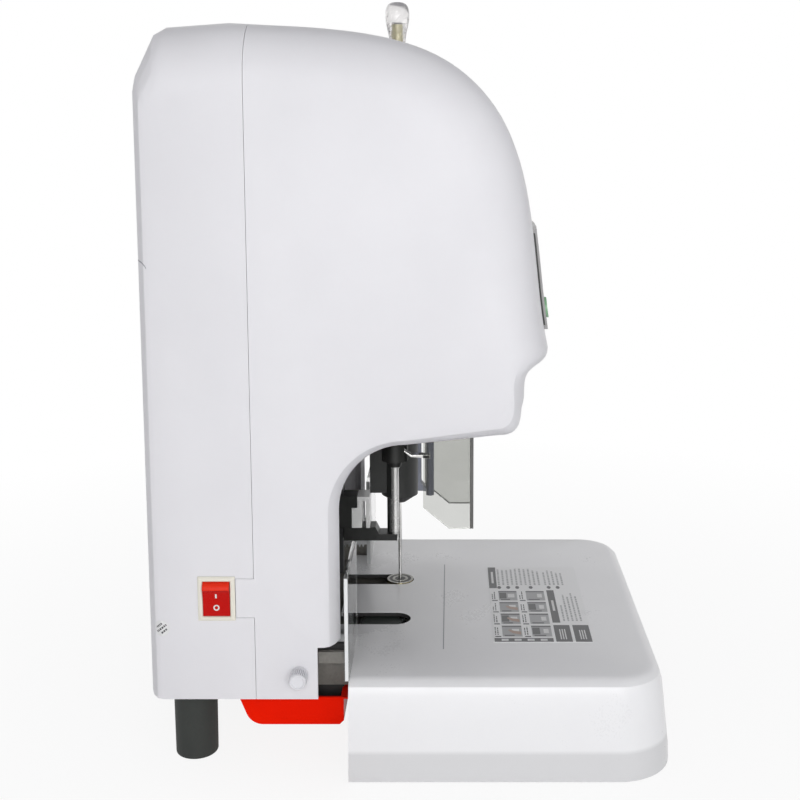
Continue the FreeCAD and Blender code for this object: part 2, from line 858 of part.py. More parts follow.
def drill_carriage():
    wide_rear = motor_y - wall
    body = carriage_plate(drill_x, wide_rear)
    shelf_half = motor_radius + pass_gap
    shelf = box(drill_x - shelf_half, drill_x + shelf_half, wide_rear - wall, motor_y + motor_radius,
                carriage_bottom_z, carriage_top_z)
    sleeve_hole = disc_z(drill_x, station_y, carriage_bottom_z - overrun, carriage_top_z + overrun,
                         sleeve_radius + fit_gap)
    return less(fused([body, shelf]), [sleeve_hole] + rod_bores(drill_x))


def spindle_sleeve():
    solids = [
        disc_z(drill_x, station_y, sleeve_bottom_z, sleeve_top_z, sleeve_radius),
        disc_z(drill_x, station_y, carriage_top_z, carriage_top_z + wall, sleeve_flange_radius),
    ]
    bore = disc_z(drill_x, station_y, sleeve_bottom_z - overrun, sleeve_top_z + overrun, sleeve_bore_radius)
    return fused(solids).cut(bore)


def spindle_bearings():
    rings = []
    for low in (sleeve_bottom_z + wall, sleeve_top_z - wall - bearing_height):
        rings.append(tube_z(drill_x, station_y, low, low + bearing_height,
                            sleeve_bore_radius - fit_gap, spindle_radius + fit_gap))
    return Part.Compound(rings)


def drill_spindle():
    return tube_z(drill_x, station_y, spindle_bottom_z, pulley_top_z + pass_gap, spindle_radius, chip_bore_radius)


def pulley(y, core):
    x = drill_x
    rim = (pulley_width - belt_width - 2 * seat_gap) / 2
    return fused([
        disc_z(x, y, pulley_bottom_z, pulley_top_z, core),
        disc_z(x, y, pulley_bottom_z, pulley_bottom_z + rim, core + 2 * belt_thickness),
        disc_z(x, y, pulley_top_z - rim, pulley_top_z, core + 2 * belt_thickness),
    ])


def spindle_pulley():
    bore = disc_z(drill_x, station_y, pulley_bottom_z - overrun, pulley_top_z + overrun,
                  spindle_radius + fit_gap)
    return pulley(station_y, spindle_pulley_radius).cut(bore)


def motor_pulley():
    shaft = disc_z(drill_x, motor_y, pulley_bottom_z - 2 * overrun, pulley_top_z, motor_shaft_radius)
    return fused([pulley(motor_y, motor_pulley_radius), shaft])


def drill_motor():
    can = disc_z(drill_x, motor_y, carriage_top_z, carriage_top_z + motor_height, motor_radius)
    rims = [edge for edge in can.Edges if edge.BoundBox.ZMin > carriage_top_z + motor_height - overrun]
    can = can.makeChamfer(belt_thickness, [edge for edge in rims if edge.BoundBox.ZLength < wall / 10])
    bore = disc_z(drill_x, motor_y, pulley_bottom_z - 3 * overrun, pulley_top_z,
                  motor_shaft_radius + fit_gap)
    return can.cut(bore)


def belt_loop(growth, low, high):
    # The outline round both pulleys, a little larger than their cores.
    large = spindle_pulley_radius + growth
    small = motor_pulley_radius + growth
    lean = math.asin((large - small) / belt_centres)
    corners = []
    for side in (-1, 1):
        pair = [(large, station_y), (small, motor_y)]
        side_points = [(drill_x + side * r * math.cos(lean), y + r * math.sin(lean)) for r, y in pair]
        corners = corners + (side_points if side < 0 else list(reversed(side_points)))
    return fused([
        prism_z(corners, low, high),
        disc_z(drill_x, station_y, low, high, large),
        disc_z(drill_x, motor_y, low, high, small),
    ])


def drive_belt():
    low = (pulley_bottom_z + pulley_top_z - belt_width) / 2
    outer = belt_loop(seat_gap / 3 + belt_thickness, low, low + belt_width)
    return outer.cut(belt_loop(seat_gap / 3, low - overrun, low + belt_width + overrun))


def drill_chuck():
    nose_top = chuck_bottom_z + chuck_nose_height
    solids = [
        cone_z(drill_x, station_y, chuck_bottom_z, nose_top, chuck_nose_radius,
               chuck_nose_radius + chuck_nose_flare),
        disc_z(drill_x, station_y, nose_top, chuck_top_z, chuck_radius),
    ]
    drill_bore = disc_z(drill_x, station_y, chuck_bottom_z - overrun, chuck_top_z, drill_radius + fit_gap)
    spindle_bore = disc_z(drill_x, station_y, spindle_bottom_z, chuck_top_z + overrun,
                          spindle_radius + fit_gap)
    return less(fused(solids), [drill_bore, spindle_bore])


def hollow_drill():
    return tube_z(drill_x, station_y, drill_tip_height, spindle_bottom_z - seat_gap,
                  drill_radius, drill_bore_radius)


# Way of the chips from the spindle to the tray
spout_leg_drop = 6.0
duct_cover = 5.0
spout_leg_bottom = carriage_top_z - spout_leg_drop
duct_top_z = spout_leg_bottom + duct_cover
duct_middle_y = back_plate_y - duct_depth / 2
stay_thickness = 4.0
stay_share = 0.61


def spout_volume(radius, ends):
    elbow = radius + seat_gap / 10
    start = vec(drill_x, station_y, spout_z)
    stop = vec(0, duct_middle_y, spout_z)
    run = stop.sub(start)
    return fused([
        disc_z(drill_x, station_y, pulley_top_z + pass_gap + seat_gap - ends, spout_z, radius),
        Part.makeSphere(elbow, start),
        Part.makeCylinder(radius, run.Length, start, run),
        Part.makeSphere(elbow, stop),
        disc_z(0, duct_middle_y, spout_leg_bottom - ends, spout_z, radius),
    ])


def chip_spout():
    stay_x = drill_x * (1 - stay_share)
    stay_y = station_y + (duct_middle_y - station_y) * stay_share
    stay = box(stay_x - stay_thickness / 2, stay_x + stay_thickness / 2, stay_y - stay_thickness,
               stay_y + stay_thickness, carriage_top_z, spout_z)
    return fused([spout_volume(spout_radius, 0), stay]).cut(spout_volume(spout_bore, overrun))


def chip_duct():
    x0, x1, y0, y1 = duct_clearance(0)
    outer = box(x0, x1, y0, y1, body_floor_z, duct_top_z)
    inner = box(x0 + duct_wall, x1 - duct_wall, y0 + duct_wall, y1 - duct_wall,
                body_floor_z - overrun, duct_top_z + overrun)
    return outer.cut(inner)


# Rivet unit
rivet_head_radius = 15.0
rivet_block_half = 11.0
rivet_block_reach = 24.0
rivet_block_rise = 10.0
rivet_block_rear = station_y + rivet_block_reach
rivet_block_bottom_z = punch_tip_height + rivet_block_rise
punch_nose_radius = 5.5
punch_height = 6.5
pin_radius = 1.4
pin_seat = 4.0
post_radius = 2.5
post_gap = 8.0
post_entry = 26.0
post_y = station_y + post_gap
post_top_z = punch_tip_height + post_entry
pin_top_z = post_top_z
rivet_carriage_tail = 18.0
rivet_carriage_rear = rod_y + rivet_carriage_tail


def rivet_carriage():
    return less(carriage_plate(rivet_x, rivet_carriage_rear), rod_bores(rivet_x))


def pin_bore():
    return disc_z(rivet_x, station_y, punch_tip_height - overrun, carriage_bottom_z - overrun,
                  pin_radius + 2 * fit_gap)


def post_bore():
    return disc_z(rivet_x, post_y, punch_tip_height - overrun, post_top_z + 2 * arm_travel,
                  post_radius + 2 * fit_gap)


def rivet_head():
    low = punch_tip_height + punch_height
    barrel = disc_z(rivet_x, station_y, low, carriage_bottom_z, rivet_head_radius)
    block = box(rivet_x - rivet_block_half, rivet_x + rivet_block_half, station_y, rivet_block_rear,
                rivet_block_bottom_z, carriage_bottom_z)
    return less(fused([barrel, block]), [pin_bore(), post_bore()])


def rivet_punch():
    nose = cone_z(rivet_x, station_y, punch_tip_height, punch_tip_height + punch_height,
                  punch_nose_radius, rivet_head_radius - seat_gap)
    return less(nose, [pin_bore(), post_bore()])


def centring_pin():
    low = base_top_z + base_thickness / 2 - pin_seat / 2
    return disc_z(rivet_x, station_y, low, pin_top_z, pin_radius)


# Presser arm with its slotted block and rail
arm_width = 16.0
arm_tip_thickness = 5.4
arm_thickness = 11.4
arm_step_gap = 20.0
arm_step_y = station_y + arm_step_gap
rail_width = 10.0
rail_depth = 6.0
rail_rise = 7.0
rail_drop = 40.0
rail_bottom_z = table_height + rail_rise
rail_top_z = head_floor_z - rail_drop
block_gap = 24.4
block_height = 26.7
block_half = 10.0
block_front_wall = 4.9
block_slot_width = 3.0
block_front_y = station_y + block_gap
block_slot_y = block_front_y + block_front_wall
block_step_share = 0.6


def arm_rail():
    rear = frame_column_front_y - wall
    return box(rivet_x - rail_width / 2, rivet_x + rail_width / 2, rear - rail_depth, rear,
               rail_bottom_z, rail_top_z)


def presser_arm():
    tip_y = station_y + pin_radius + 2 * seat_gap
    rear = frame_column_front_y - wall - rail_depth - 2 * seat_gap
    tip_top = arm_bottom_height + arm_tip_thickness
    arm_top = arm_bottom_height + arm_thickness
    outline = [
        (tip_y, arm_bottom_height), (rear, arm_bottom_height), (rear, arm_top), (arm_step_y, arm_top),
        (arm_step_y - wall, tip_top), (tip_y, tip_top),
    ]
    arm = prism_x(outline, rivet_x - arm_width / 2, rivet_x + arm_width / 2)
    post = disc_z(rivet_x, post_y, tip_top - wall, post_top_z, post_radius)
    return fused([arm, post])


def arm_block():
    low = arm_bottom_height + arm_thickness
    rail_face = frame_column_front_y - wall
    body = box(rivet_x - block_half, rivet_x + block_half, block_front_y, rail_face - 2 * seat_gap,
               low, low + block_height)
    slot = box(rivet_x - block_half - overrun, rivet_x + block_half + overrun, block_slot_y,
               block_slot_y + block_slot_width, low - overrun, low + block_height - block_slot_width)
    groove = box(rivet_x - rail_width / 2 - seat_gap, rivet_x + rail_width / 2 + seat_gap,
                 rail_face - rail_depth - seat_gap, rail_face, low - overrun, low + block_height + overrun)
    step = box(rivet_x - block_half - overrun, rivet_x - block_half / 2, block_slot_y + 2 * block_slot_width,
               rail_face, low + block_height * block_step_share, low + block_height + overrun)
    return less(body, [slot, groove, step])


# Pad, die, guard and lamp
pad_radius = 16.3
pad_thickness = 3.2
pad_stub_radius = 3.0
pad_holder_half = 17.5
pad_holder_height = 2.0
die_radius = 10.9
die_height = 9.6
die_groove_radius = 6.6
guard_width = 64.0
guard_front_gap = 3.0
guard_rear_gap = 22.0
guard_drop = 86.4
guard_step_drop = 70.5
guard_step_gap = 41.0
guard_thickness = 2.5
lamp_radius = 3.0
lamp_gap = 26.6
lamp_drop = 70.0
guard_front_y = frame_head_front_y + guard_front_gap
guard_rear_y = station_y - guard_rear_gap
guard_step_y = station_y - guard_step_gap
guard_bottom_z = head_floor_z - guard_drop
guard_step_z = head_floor_z - guard_step_drop
lamp_y = station_y - lamp_gap
lamp_bottom_z = head_floor_z - lamp_drop


def pad_holder():
    top = base_top_z + pad_holder_height
    plate = box(drill_x - pad_holder_half, drill_x + pad_holder_half, pad_y - pad_holder_half,
                pad_y + pad_holder_half, base_top_z, top)
    return plate.cut(disc_z(drill_x, pad_y, base_top_z - overrun, top + overrun, pad_stub_radius + fit_gap))


def drill_pad():
    low = base_top_z + pad_holder_height + seat_gap
    disc = disc_z(drill_x, pad_y, low, low + pad_thickness, pad_radius)
    stub = disc_z(drill_x, pad_y, base_top_z + seat_gap, low + pad_thickness / 2, pad_stub_radius)
    notch = box(drill_x - seat_gap * 3, drill_x + seat_gap * 3, pad_y - pad_radius - overrun,
                pad_y - pad_radius + wall, low + pad_thickness - wall / 2, low + pad_thickness + overrun)
    return fused([disc, stub]).cut(notch)


def rivet_die():
    top = base_top_z + die_height
    body = disc_z(rivet_x, station_y, base_top_z, top, die_radius)
    groove = tube_z(rivet_x, station_y, top - wall / 2, top + overrun, die_radius - wall / 2, die_groove_radius)
    bore = disc_z(rivet_x, station_y, base_top_z - overrun, top + overrun, pin_radius + fit_gap)
    return less(body, [groove, bore])


def drill_guard():
    outline = [
        (guard_front_y, guard_bottom_z), (guard_step_y, guard_bottom_z), (guard_rear_y, guard_step_z),
        (guard_rear_y, head_floor_z), (guard_front_y, head_floor_z),
    ]
    left = drill_x - guard_width / 2
    right = drill_x + guard_width / 2
    whole = prism_x(outline, left, right)
    inside = box(left + guard_thickness, right - guard_thickness, guard_front_y + guard_thickness,
                 guard_rear_y + overrun, guard_bottom_z - overrun, head_floor_z + overrun)
    return whole.cut(inside)


def locating_lamp():
    return fused([
        disc_z(drill_x, lamp_y, lamp_bottom_z, head_floor_z, lamp_radius),
        disc_z(drill_x, lamp_y, head_floor_z - 3 * wall, head_floor_z, lamp_radius + wall / 2),
    ])


# Fence and margin knob
carrier_front = fence_front_y + fence_thickness
carrier_rear = margin_axis_y + carrier_tail
carrier_top = rack_pitch_z + root_share * margin_module + carrier_width
carrier_flange = 3.7
carrier_flange_height = 24.5


def fence_plates():
    outer = body_half + fence_overhang
    low = table_height + seat_gap
    plate = box(outer - fence_length, outer, fence_front_y, fence_front_y + fence_thickness,
                low, low + fence_height)
    return Part.Compound([plate, mirrored(plate)])


def fence_carriers():
    inner = frame_inner - carrier_inset - carrier_width
    outer = frame_inner - carrier_inset
    backing = rack_pitch_z + root_share * margin_module
    teeth = rack_teeth(margin_module, carrier_front + carrier_flange, carrier_rear, margin_axis_y,
                       margin_backlash)
    outline = [(y, rack_pitch_z - height) for y, height in teeth]
    outline = outline + [(carrier_rear, carrier_top), (carrier_front + carrier_flange, carrier_top)]
    bar = prism_x(outline, inner, outer)
    flange = box(inner, outer, carrier_front, carrier_front + carrier_flange, backing,
                 backing + carrier_flange_height)
    carrier = fused([bar, flange])
    return Part.Compound([carrier, mirrored(carrier)])


def margin_shaft():
    inner = frame_inner - carrier_inset - carrier_width
    outer = frame_inner - carrier_inset
    knob_inner = -body_half - seat_gap
    shaft = disc_x(margin_axis_y, margin_axis_z, knob_inner - knob_length / 2, frame_half, margin_shaft_radius)
    solids = [shaft]
    quarter = math.pi / 2
    outline = []
    for u, v in gear_points(margin_module, margin_teeth, margin_backlash):
        outline.append((margin_axis_y + u * math.cos(quarter) - v * math.sin(quarter),
                        margin_axis_z + u * math.sin(quarter) + v * math.cos(quarter)))
    solids.append(prism_x(outline, inner, outer))
    solids.append(prism_x(outline, -outer, -inner))
    return fused(solids)


def margin_knob():
    inner_x = -body_half - seat_gap
    outer_x = inner_x - knob_length
    depth = knob_radius * knob_rib_share
    outline = []
    for i in range(2 * knob_ribs):
        angle = math.pi * i / knob_ribs
        radius = knob_radius if i % 2 else knob_radius - depth
        outline.append((margin_axis_y + radius * math.cos(angle), margin_axis_z + radius * math.sin(angle)))
    grip = prism_x(outline, outer_x + wall / 2, inner_x - wall)
    face = disc_x(margin_axis_y, margin_axis_z, outer_x, inner_x - wall, knob_radius * knob_face_share)
    neck = disc_x(margin_axis_y, margin_axis_z, inner_x - wall - wall / 2, inner_x, knob_radius * knob_neck_share)
    bore = disc_x(margin_axis_y, margin_axis_z, inner_x - knob_length / 2, inner_x + overrun,
                  margin_shaft_radius + fit_gap)
    return fused([grip, face, neck]).cut(bore)


# Chip tray and rails
tray_lip = 3.0
tray_lip_thickness = 1.2
tray_slope = 8.0
tray_knee_shares = (0.2, 0.25)
tray_drop = 2.0
tray_top_z = body_floor_z - tray_drop
rail_flange = 1.5
rail_web = 2.0


def tray_outline(inset):
    front = tray_front_y + tray_lip + inset
    rear = tray_front_y + tray_depth - tray_lip - inset
    low = tray_top_z - tray_height + inset
    return front, rear, low


def tray_profile(inset, top):
    front, rear, low = tray_outline(inset)
    slope = tray_slope
    radius = tray_corner_radius - inset
    rise = top - low
    top_rear = rear + slope * (top - tray_top_z) / tray_height
    rear_low = rear - slope
    corners = [vec(0, front, top), vec(0, front, low + wall), vec(0, front + wall, low),
               vec(0, rear_low - radius, low)]
    share = radius / rise
    bend_end = vec(0, rear_low + (top_rear - rear_low) * share, low + radius)
    knee = vec(0, rear_low - radius * tray_knee_shares[0], low + radius * tray_knee_shares[1])
    edges = [
        Part.makeLine(corners[0], corners[1]),
        Part.makeLine(corners[1], corners[2]),
        Part.makeLine(corners[2], corners[3]),
        Part.Arc(corners[3], knee, bend_end).toShape(),
        Part.makeLine(bend_end, vec(0, top_rear, top)),
        Part.makeLine(vec(0, top_rear, top), corners[0]),
    ]
    return Part.Face(Part.Wire(edges))


def chip_tray():
    left = -body_half + tray_side_gap
    body = tray_profile(0, tray_top_z).extrude(vec(tray_width, 0, 0))
    body = moved(body, left, 0, 0)
    hollow = tray_profile(tray_wall, tray_top_z + overrun).extrude(vec(tray_width - 2 * tray_wall, 0, 0))
    hollow = moved(hollow, left + tray_wall, 0, 0)
    lip = box(left, left + tray_width, tray_front_y, tray_front_y + tray_depth,
              tray_top_z - tray_lip_thickness, tray_top_z)
    return fused([body, lip]).cut(hollow)


def tray_rails():
    flange_top = tray_top_z - tray_lip_thickness - seat_gap
    flange_low = flange_top - rail_flange
    half = frame_inner - rail_web
    rails = []
    rear = tray_front_y + tray_depth
    for tip, web, far in ((tray_front_y + tray_lip - 2 * seat_gap, tray_front_y - 2 * seat_gap, -rail_web),
                          (rear - tray_lip + 2 * seat_gap, rear + 2 * seat_gap, rail_web)):
        low_y, high_y = sorted((tip, web + far))
        flange = box(-half, half, low_y, high_y, flange_low, flange_top)
        low_y, high_y = sorted((web, web + far))
        upright = box(-half, half, low_y, high_y, flange_low, body_floor_z)
        rails.append(fused([flange, upright]))
    return Part.Compound(rails)


# Electrical pieces
supply_width = 110.0
supply_left_share = 0.65
supply_height = 68.0
supply_front_y = frame_rear_y + supply_gap
supply_rear_y = supply_front_y + supply_depth
chip_size = 18.0
chip_height = 3.0
chip_shares = ((-0.3, 0.7, 1.0), (0.0, 0.35, 1.4), (0.3, 0.7, 0.9), (-0.3, 0.25, 0.8))


def power_supply():
    left = -supply_width * supply_left_share
    case = box(left, left + supply_width, supply_front_y, supply_rear_y, base_top_z, base_top_z + supply_height)
    grooves = []
    for i in range(vent_count):
        x = left + supply_width * (i + 1) / (vent_count + 1)
        grooves.append(box(x - vent_height / 2, x + vent_height / 2, supply_front_y + overrun,
                           supply_rear_y - overrun, base_top_z + supply_height - wall,
                           base_top_z + supply_height + overrun))
    return less(case, grooves)


def control_board():
    solids = [box(-board_width / 2, board_width / 2, board_y, board_y + board_thickness,
                  board_bottom_z, board_bottom_z + board_height)]
    for x_share, z_share, size_share in chip_shares:
        x = board_width * x_share
        z = board_bottom_z + board_height * z_share
        half = chip_size * size_share / 2
        solids.append(box(x - half, x + half, board_y + board_thickness / 2,
                          board_y + board_thickness + chip_height * size_share, z - half, z + half))
    return fused(solids)


def switch_bezel():
    outer_x = -body_half - switch_bezel_thickness
    half_width = switch_width / 2
    half_height = switch_height / 2
    frame = box(outer_x, -body_half - fit_gap, switch_y - half_width, switch_y + half_width,
                switch_z - half_height, switch_z + half_height)
    case = box(-body_half - switch_bezel_thickness / 2, -body_half + switch_case_depth,
               switch_y - switch_case_width / 2, switch_y + switch_case_width / 2,
               switch_z - switch_case_height / 2, switch_z + switch_case_height / 2)
    well = box(outer_x - overrun, -body_half + switch_case_depth - wall,
               switch_y - rocker_width / 2 - seat_gap, switch_y + rocker_width / 2 + seat_gap,
               switch_z - rocker_height / 2 - 2 * seat_gap, switch_z + rocker_height / 2 + 2 * seat_gap)
    pin_holes = rocker_pin(switch_case_width / 2 + overrun, rocker_pin_radius + fit_gap)
    return less(fused([frame, case]), [well, pin_holes])


def rocker_pin(half_length, radius):
    return disc_y(rocker_axis_x, switch_z, switch_y - half_length, switch_y + half_length, radius)


def power_rocker():
    # A shallow V seen along the machine's depth; the lower half is pressed in.
    face_x = rocker_axis_x - rocker_rise * 2
    half = rocker_height / 2
    dip = half * math.tan(math.radians(rocker_tilt_deg))
    outline = [
        (face_x - dip / 2, switch_z + half * rocker_face_share), (face_x + dip / 2, switch_z),
        (face_x + dip / 3, switch_z - half * rocker_face_share),
        (rocker_axis_x, switch_z - half * rocker_back_share),
        (rocker_axis_x + rocker_rise, switch_z), (rocker_axis_x, switch_z + half * rocker_back_share),
    ]
    cap = prism_y(outline, switch_y - rocker_width / 2, switch_y + rocker_width / 2)
    return fused([cap, rocker_pin(rocker_width / 2 + rocker_pin_length, rocker_pin_radius)])


def power_inlet():
    flange = box(inlet_x - inlet_width / 2, inlet_x + inlet_width / 2, rear_y - inlet_flange, rear_y,
                 inlet_z - inlet_height / 2, inlet_z + inlet_height / 2)
    case = box(inlet_x - inlet_case_width / 2, inlet_x + inlet_case_width / 2, rear_y - inlet_depth,
               rear_y - inlet_flange / 2, inlet_z - inlet_case_height / 2, inlet_z + inlet_case_height / 2)
    socket = box(inlet_x - inlet_socket_width / 2, inlet_x + inlet_socket_width / 2,
                 rear_y - inlet_socket_depth, rear_y + overrun,
                 inlet_z - inlet_socket_height / 2, inlet_z + inlet_socket_height / 2)
    solids = [fused([flange, case]).cut(socket)]
    for i in (-1, 0, 1):
        x = inlet_x + i * inlet_pin_spacing
        z = inlet_z if i else inlet_z + inlet_pin_height / 2
        solids.append(box(x - inlet_pin_width / 2, x + inlet_pin_width / 2, rear_y - inlet_socket_depth - wall,
                          rear_y - wall, z - inlet_pin_height / 2, z + inlet_pin_height / 2))
    return fused(solids)


# Front panel, window and keys follow the bulge of the front cover
window_width = 68.0
window_height = 30.0
window_low_share = 0.49
window_depth = 2.8
key_rise = 12.5
key_z = panel_bottom_z + key_rise


def front_skin(proud, depth):
    return moved(outer_body, 0, -proud, 0).cut(moved(outer_body, 0, depth, 0))


def display_panel():
    half = panel_width / 2 - seat_gap
    low = panel_bottom_z + seat_gap
    high = panel_bottom_z + panel_height - seat_gap
    front_limit = front_y + overrun
    slab = box(-half, half, front_limit, panel_cut_y, low, high)
    panel = slab.common(front_skin(panel_stand, panel_thickness))
    window_low = panel_bottom_z + panel_height * window_low_share
    pocket = box(-window_width / 2, window_width / 2, front_limit, panel_cut_y, window_low,
                 window_low + window_height).cut(moved(outer_body, 0, window_depth, 0))
    cuts = [pocket]
    for side in (-1, 1):
        cuts.append(disc_y(side * key_spacing / 2, key_z, front_limit, panel_cut_y, key_radius + seat_gap))
    return less(panel, cuts)


def display_window():
    window_low = panel_bottom_z + panel_height * window_low_share + seat_gap
    pane = box(-window_width / 2 + seat_gap, window_width / 2 - seat_gap, front_y + overrun,
               panel_cut_y, window_low, window_low + window_height - 2 * seat_gap)
    return pane.common(front_skin(panel_stand / 2, window_depth - seat_gap))


def panel_key(side):
    rod = disc_y(side * key_spacing / 2, key_z, front_y + overrun, panel_cut_y, key_radius)
    return rod.common(front_skin(panel_stand + key_stand, panel_thickness))


# Cleaning rod
knob_profile_shares = [
    (0.62, 0.0), (0.66, 0.10), (0.76, 0.30), (0.92, 0.50), (1.0, 0.70), (0.86, 0.91), (0.45, 1.0),
]


def rod_knob():
    points = [vec(r * rod_knob_radius, 0, rod_knob_base_z + h * rod_knob_height) for r, h in knob_profile_shares]
    curve = Part.BSplineCurve()
    curve.interpolate(points)
    top = vec(0, 0, points[-1].z)
    bottom = vec(0, 0, points[0].z)
    wire = Part.Wire([curve.toShape(), Part.makeLine(points[-1], top), Part.makeLine(top, bottom),
                      Part.makeLine(bottom, points[0])])
    bulb = moved(Part.Face(wire).revolve(vec(0, 0, 0), vec(0, 0, 1), 360), 0, rod_knob_y, 0)
    bore = disc_z(0, rod_knob_y, rod_knob_base_z - overrun, rod_knob_base_z + rod_knob_height * rod_bore_share,
                  rod_core_radius + fit_gap)
    return bulb.cut(bore)


def cleaning_rod():
    core_top = rod_knob_base_z + rod_knob_height * rod_core_share
    return fused([
        disc_z(0, rod_knob_y, cleaning_rod_bottom_z, rod_knob_base_z + wall, cleaning_rod_radius),
        disc_z(0, rod_knob_y, rod_knob_base_z, core_top, rod_core_radius),
    ])


def export(name, shape):
    shape.exportStep("parts/" + name + ".step")


def main():
    os.makedirs("parts", exist_ok=True)
    makers = [
        base_casting, side_plates, back_plate, lower_head_plate, upper_head_plate, throat_plate,
        front_cover, rear_cover, cover_screws, table_cover, table_label, feet, guide_rods, feed_motors,
        drill_carriage, spindle_sleeve, spindle_bearings, drill_spindle, spindle_pulley, motor_pulley,
        drill_motor, drive_belt, drill_chuck, hollow_drill, chip_spout, chip_duct, rivet_carriage,
        rivet_head, rivet_punch, centring_pin, arm_rail, presser_arm, arm_block, pad_holder, drill_pad,
        rivet_die, drill_guard, locating_lamp, fence_plates, fence_carriers, margin_shaft, margin_knob,
        chip_tray, tray_rails, power_supply, control_board, switch_bezel, power_rocker, power_inlet,
        display_panel, display_window, rod_knob, cleaning_rod,
    ]
    for maker in makers:
        export(maker.__name__, maker())
    for name, side in (("drill", -1), ("rivet", 1)):
        export(name + "_rack", rack(side))
        export(name + "_pinion", pinion(side))
        export(name + "_key", panel_key(side))


main()
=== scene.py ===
import bpy
import json
import math
import random
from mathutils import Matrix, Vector
from mathutils.bvhtree import BVHTree


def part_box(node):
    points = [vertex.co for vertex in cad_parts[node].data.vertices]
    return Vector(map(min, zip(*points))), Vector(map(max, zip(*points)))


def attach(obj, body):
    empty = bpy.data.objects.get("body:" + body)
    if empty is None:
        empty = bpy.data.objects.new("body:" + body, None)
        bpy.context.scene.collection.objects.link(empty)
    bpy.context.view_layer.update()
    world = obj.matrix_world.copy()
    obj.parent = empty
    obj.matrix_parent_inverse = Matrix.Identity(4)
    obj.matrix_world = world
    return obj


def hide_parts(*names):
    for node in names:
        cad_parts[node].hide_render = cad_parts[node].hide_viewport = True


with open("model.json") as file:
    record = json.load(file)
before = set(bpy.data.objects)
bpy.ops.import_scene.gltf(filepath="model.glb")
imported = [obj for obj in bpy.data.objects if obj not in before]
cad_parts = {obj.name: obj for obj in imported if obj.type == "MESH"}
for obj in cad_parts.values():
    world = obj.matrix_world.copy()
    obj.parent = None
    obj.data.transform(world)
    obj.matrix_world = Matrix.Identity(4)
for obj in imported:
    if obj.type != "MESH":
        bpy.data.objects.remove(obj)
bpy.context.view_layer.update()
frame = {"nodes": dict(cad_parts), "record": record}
nodes = frame["nodes"]
random.seed(7)

MM = 0.001


# Materials

def tree(name):
    material = bpy.data.materials.new(name)
    material.use_nodes = True
    principled = material.node_tree.nodes["Principled BSDF"]
    return material, material.node_tree, principled


def add(net, kind, **values):
    node = net.nodes.new(kind)
    for key, value in values.items():
        setattr(node, key, value)
    return node


def place(net, stretch=(1, 1, 1)):
    """Object coordinates, stretched along the axes."""
    coordinates = add(net, "ShaderNodeTexCoord")
    mapping = add(net, "ShaderNodeMapping")
    mapping.inputs["Scale"].default_value = stretch
    net.links.new(coordinates.outputs["Object"], mapping.inputs["Vector"])
    return mapping.outputs["Vector"]


def noise(net, vector, scale, detail=3.0):
    node = add(net, "ShaderNodeTexNoise")
    node.inputs["Scale"].default_value = scale
    node.inputs["Detail"].default_value = detail
    net.links.new(vector, node.inputs["Vector"])
    return node.outputs["Fac"]


def spread(net, value, low, high, start=0.35, stop=0.65):
    node = add(net, "ShaderNodeMapRange")
    node.inputs["From Min"].default_value = start
    node.inputs["From Max"].default_value = stop
    node.inputs["To Min"].default_value = low
    node.inputs["To Max"].default_value = high
    net.links.new(value, node.inputs["Value"])
    return node.outputs["Result"]


def blend_colors(net, factor, color_a, color_b):
    node = add(net, "ShaderNodeMix", data_type="RGBA")
    for socket, color in ((node.inputs[6], color_a), (node.inputs[7], color_b)):
        if hasattr(color, "links"):
            net.links.new(color, socket)
        else:
            socket.default_value = (*color, 1)
    net.links.new(factor, node.inputs[0])
    return node.outputs[2]


def bump(net, height, principled, distance):
    node = add(net, "ShaderNodeBump")
    node.inputs["Distance"].default_value = distance
    node.inputs["Strength"].default_value = 1.0
    net.links.new(height, node.inputs["Height"])
    net.links.new(node.outputs["Normal"], principled.inputs["Normal"])


def finish(name, color, other, roughness, metallic=0.0, patch=14.0, grain=1400.0, grain_depth=0.03,
           grain_stretch=None, **sockets):
    """A surface of two near colours in soft patches, with uneven roughness and a fine grain.

    Patch and grain are noise scales, and grain_depth is in millimetres.
    """
    grain_share = 0.35
    rough_spread = 0.06
    material, net, principled = tree(name)
    vector = place(net)
    fine = place(net, grain_stretch) if grain_stretch else vector
    patches = noise(net, vector, patch)
    grains = noise(net, fine, grain, 2.0)
    both = add(net, "ShaderNodeMath", operation="MULTIPLY_ADD")
    both.inputs[1].default_value = grain_share
    net.links.new(grains, both.inputs[0])
    net.links.new(patches, both.inputs[2])
    shade = blend_colors(net, spread(net, both.outputs[0], 0, 1, 0.45, 0.9), color, other)
    net.links.new(shade, principled.inputs["Base Color"])
    rough = spread(net, both.outputs[0], roughness - rough_spread, roughness + rough_spread, 0.4, 0.9)
    net.links.new(rough, principled.inputs["Roughness"])
    bump(net, grains, principled, grain_depth * MM)
    principled.inputs["Metallic"].default_value = metallic
    for key, value in sockets.items():
        principled.inputs[key.replace("_", " ")].default_value = value
    return material


def clear(name, color, roughness, ior, haze, facet=0.02):
    """Clear plastic with faint scuffs; facet is the depth of its uneven surface in millimetres."""
    material, net, principled = tree(name)
    vector = place(net)
    scuffs = noise(net, vector, 60.0, 5.0)
    rough = spread(net, scuffs, roughness, roughness + haze)
    net.links.new(rough, principled.inputs["Roughness"])
    shade = blend_colors(net, spread(net, scuffs, 0, 1), color, tuple(0.97 * c for c in color))
    net.links.new(shade, principled.inputs["Base Color"])
    principled.inputs["Transmission Weight"].default_value = 1.0
    principled.inputs["IOR"].default_value = ior
    smooth_sheet = facet < 0.1
    bump(net, noise(net, vector, 25.0 if smooth_sheet else 260.0), principled, facet * MM)
    return material


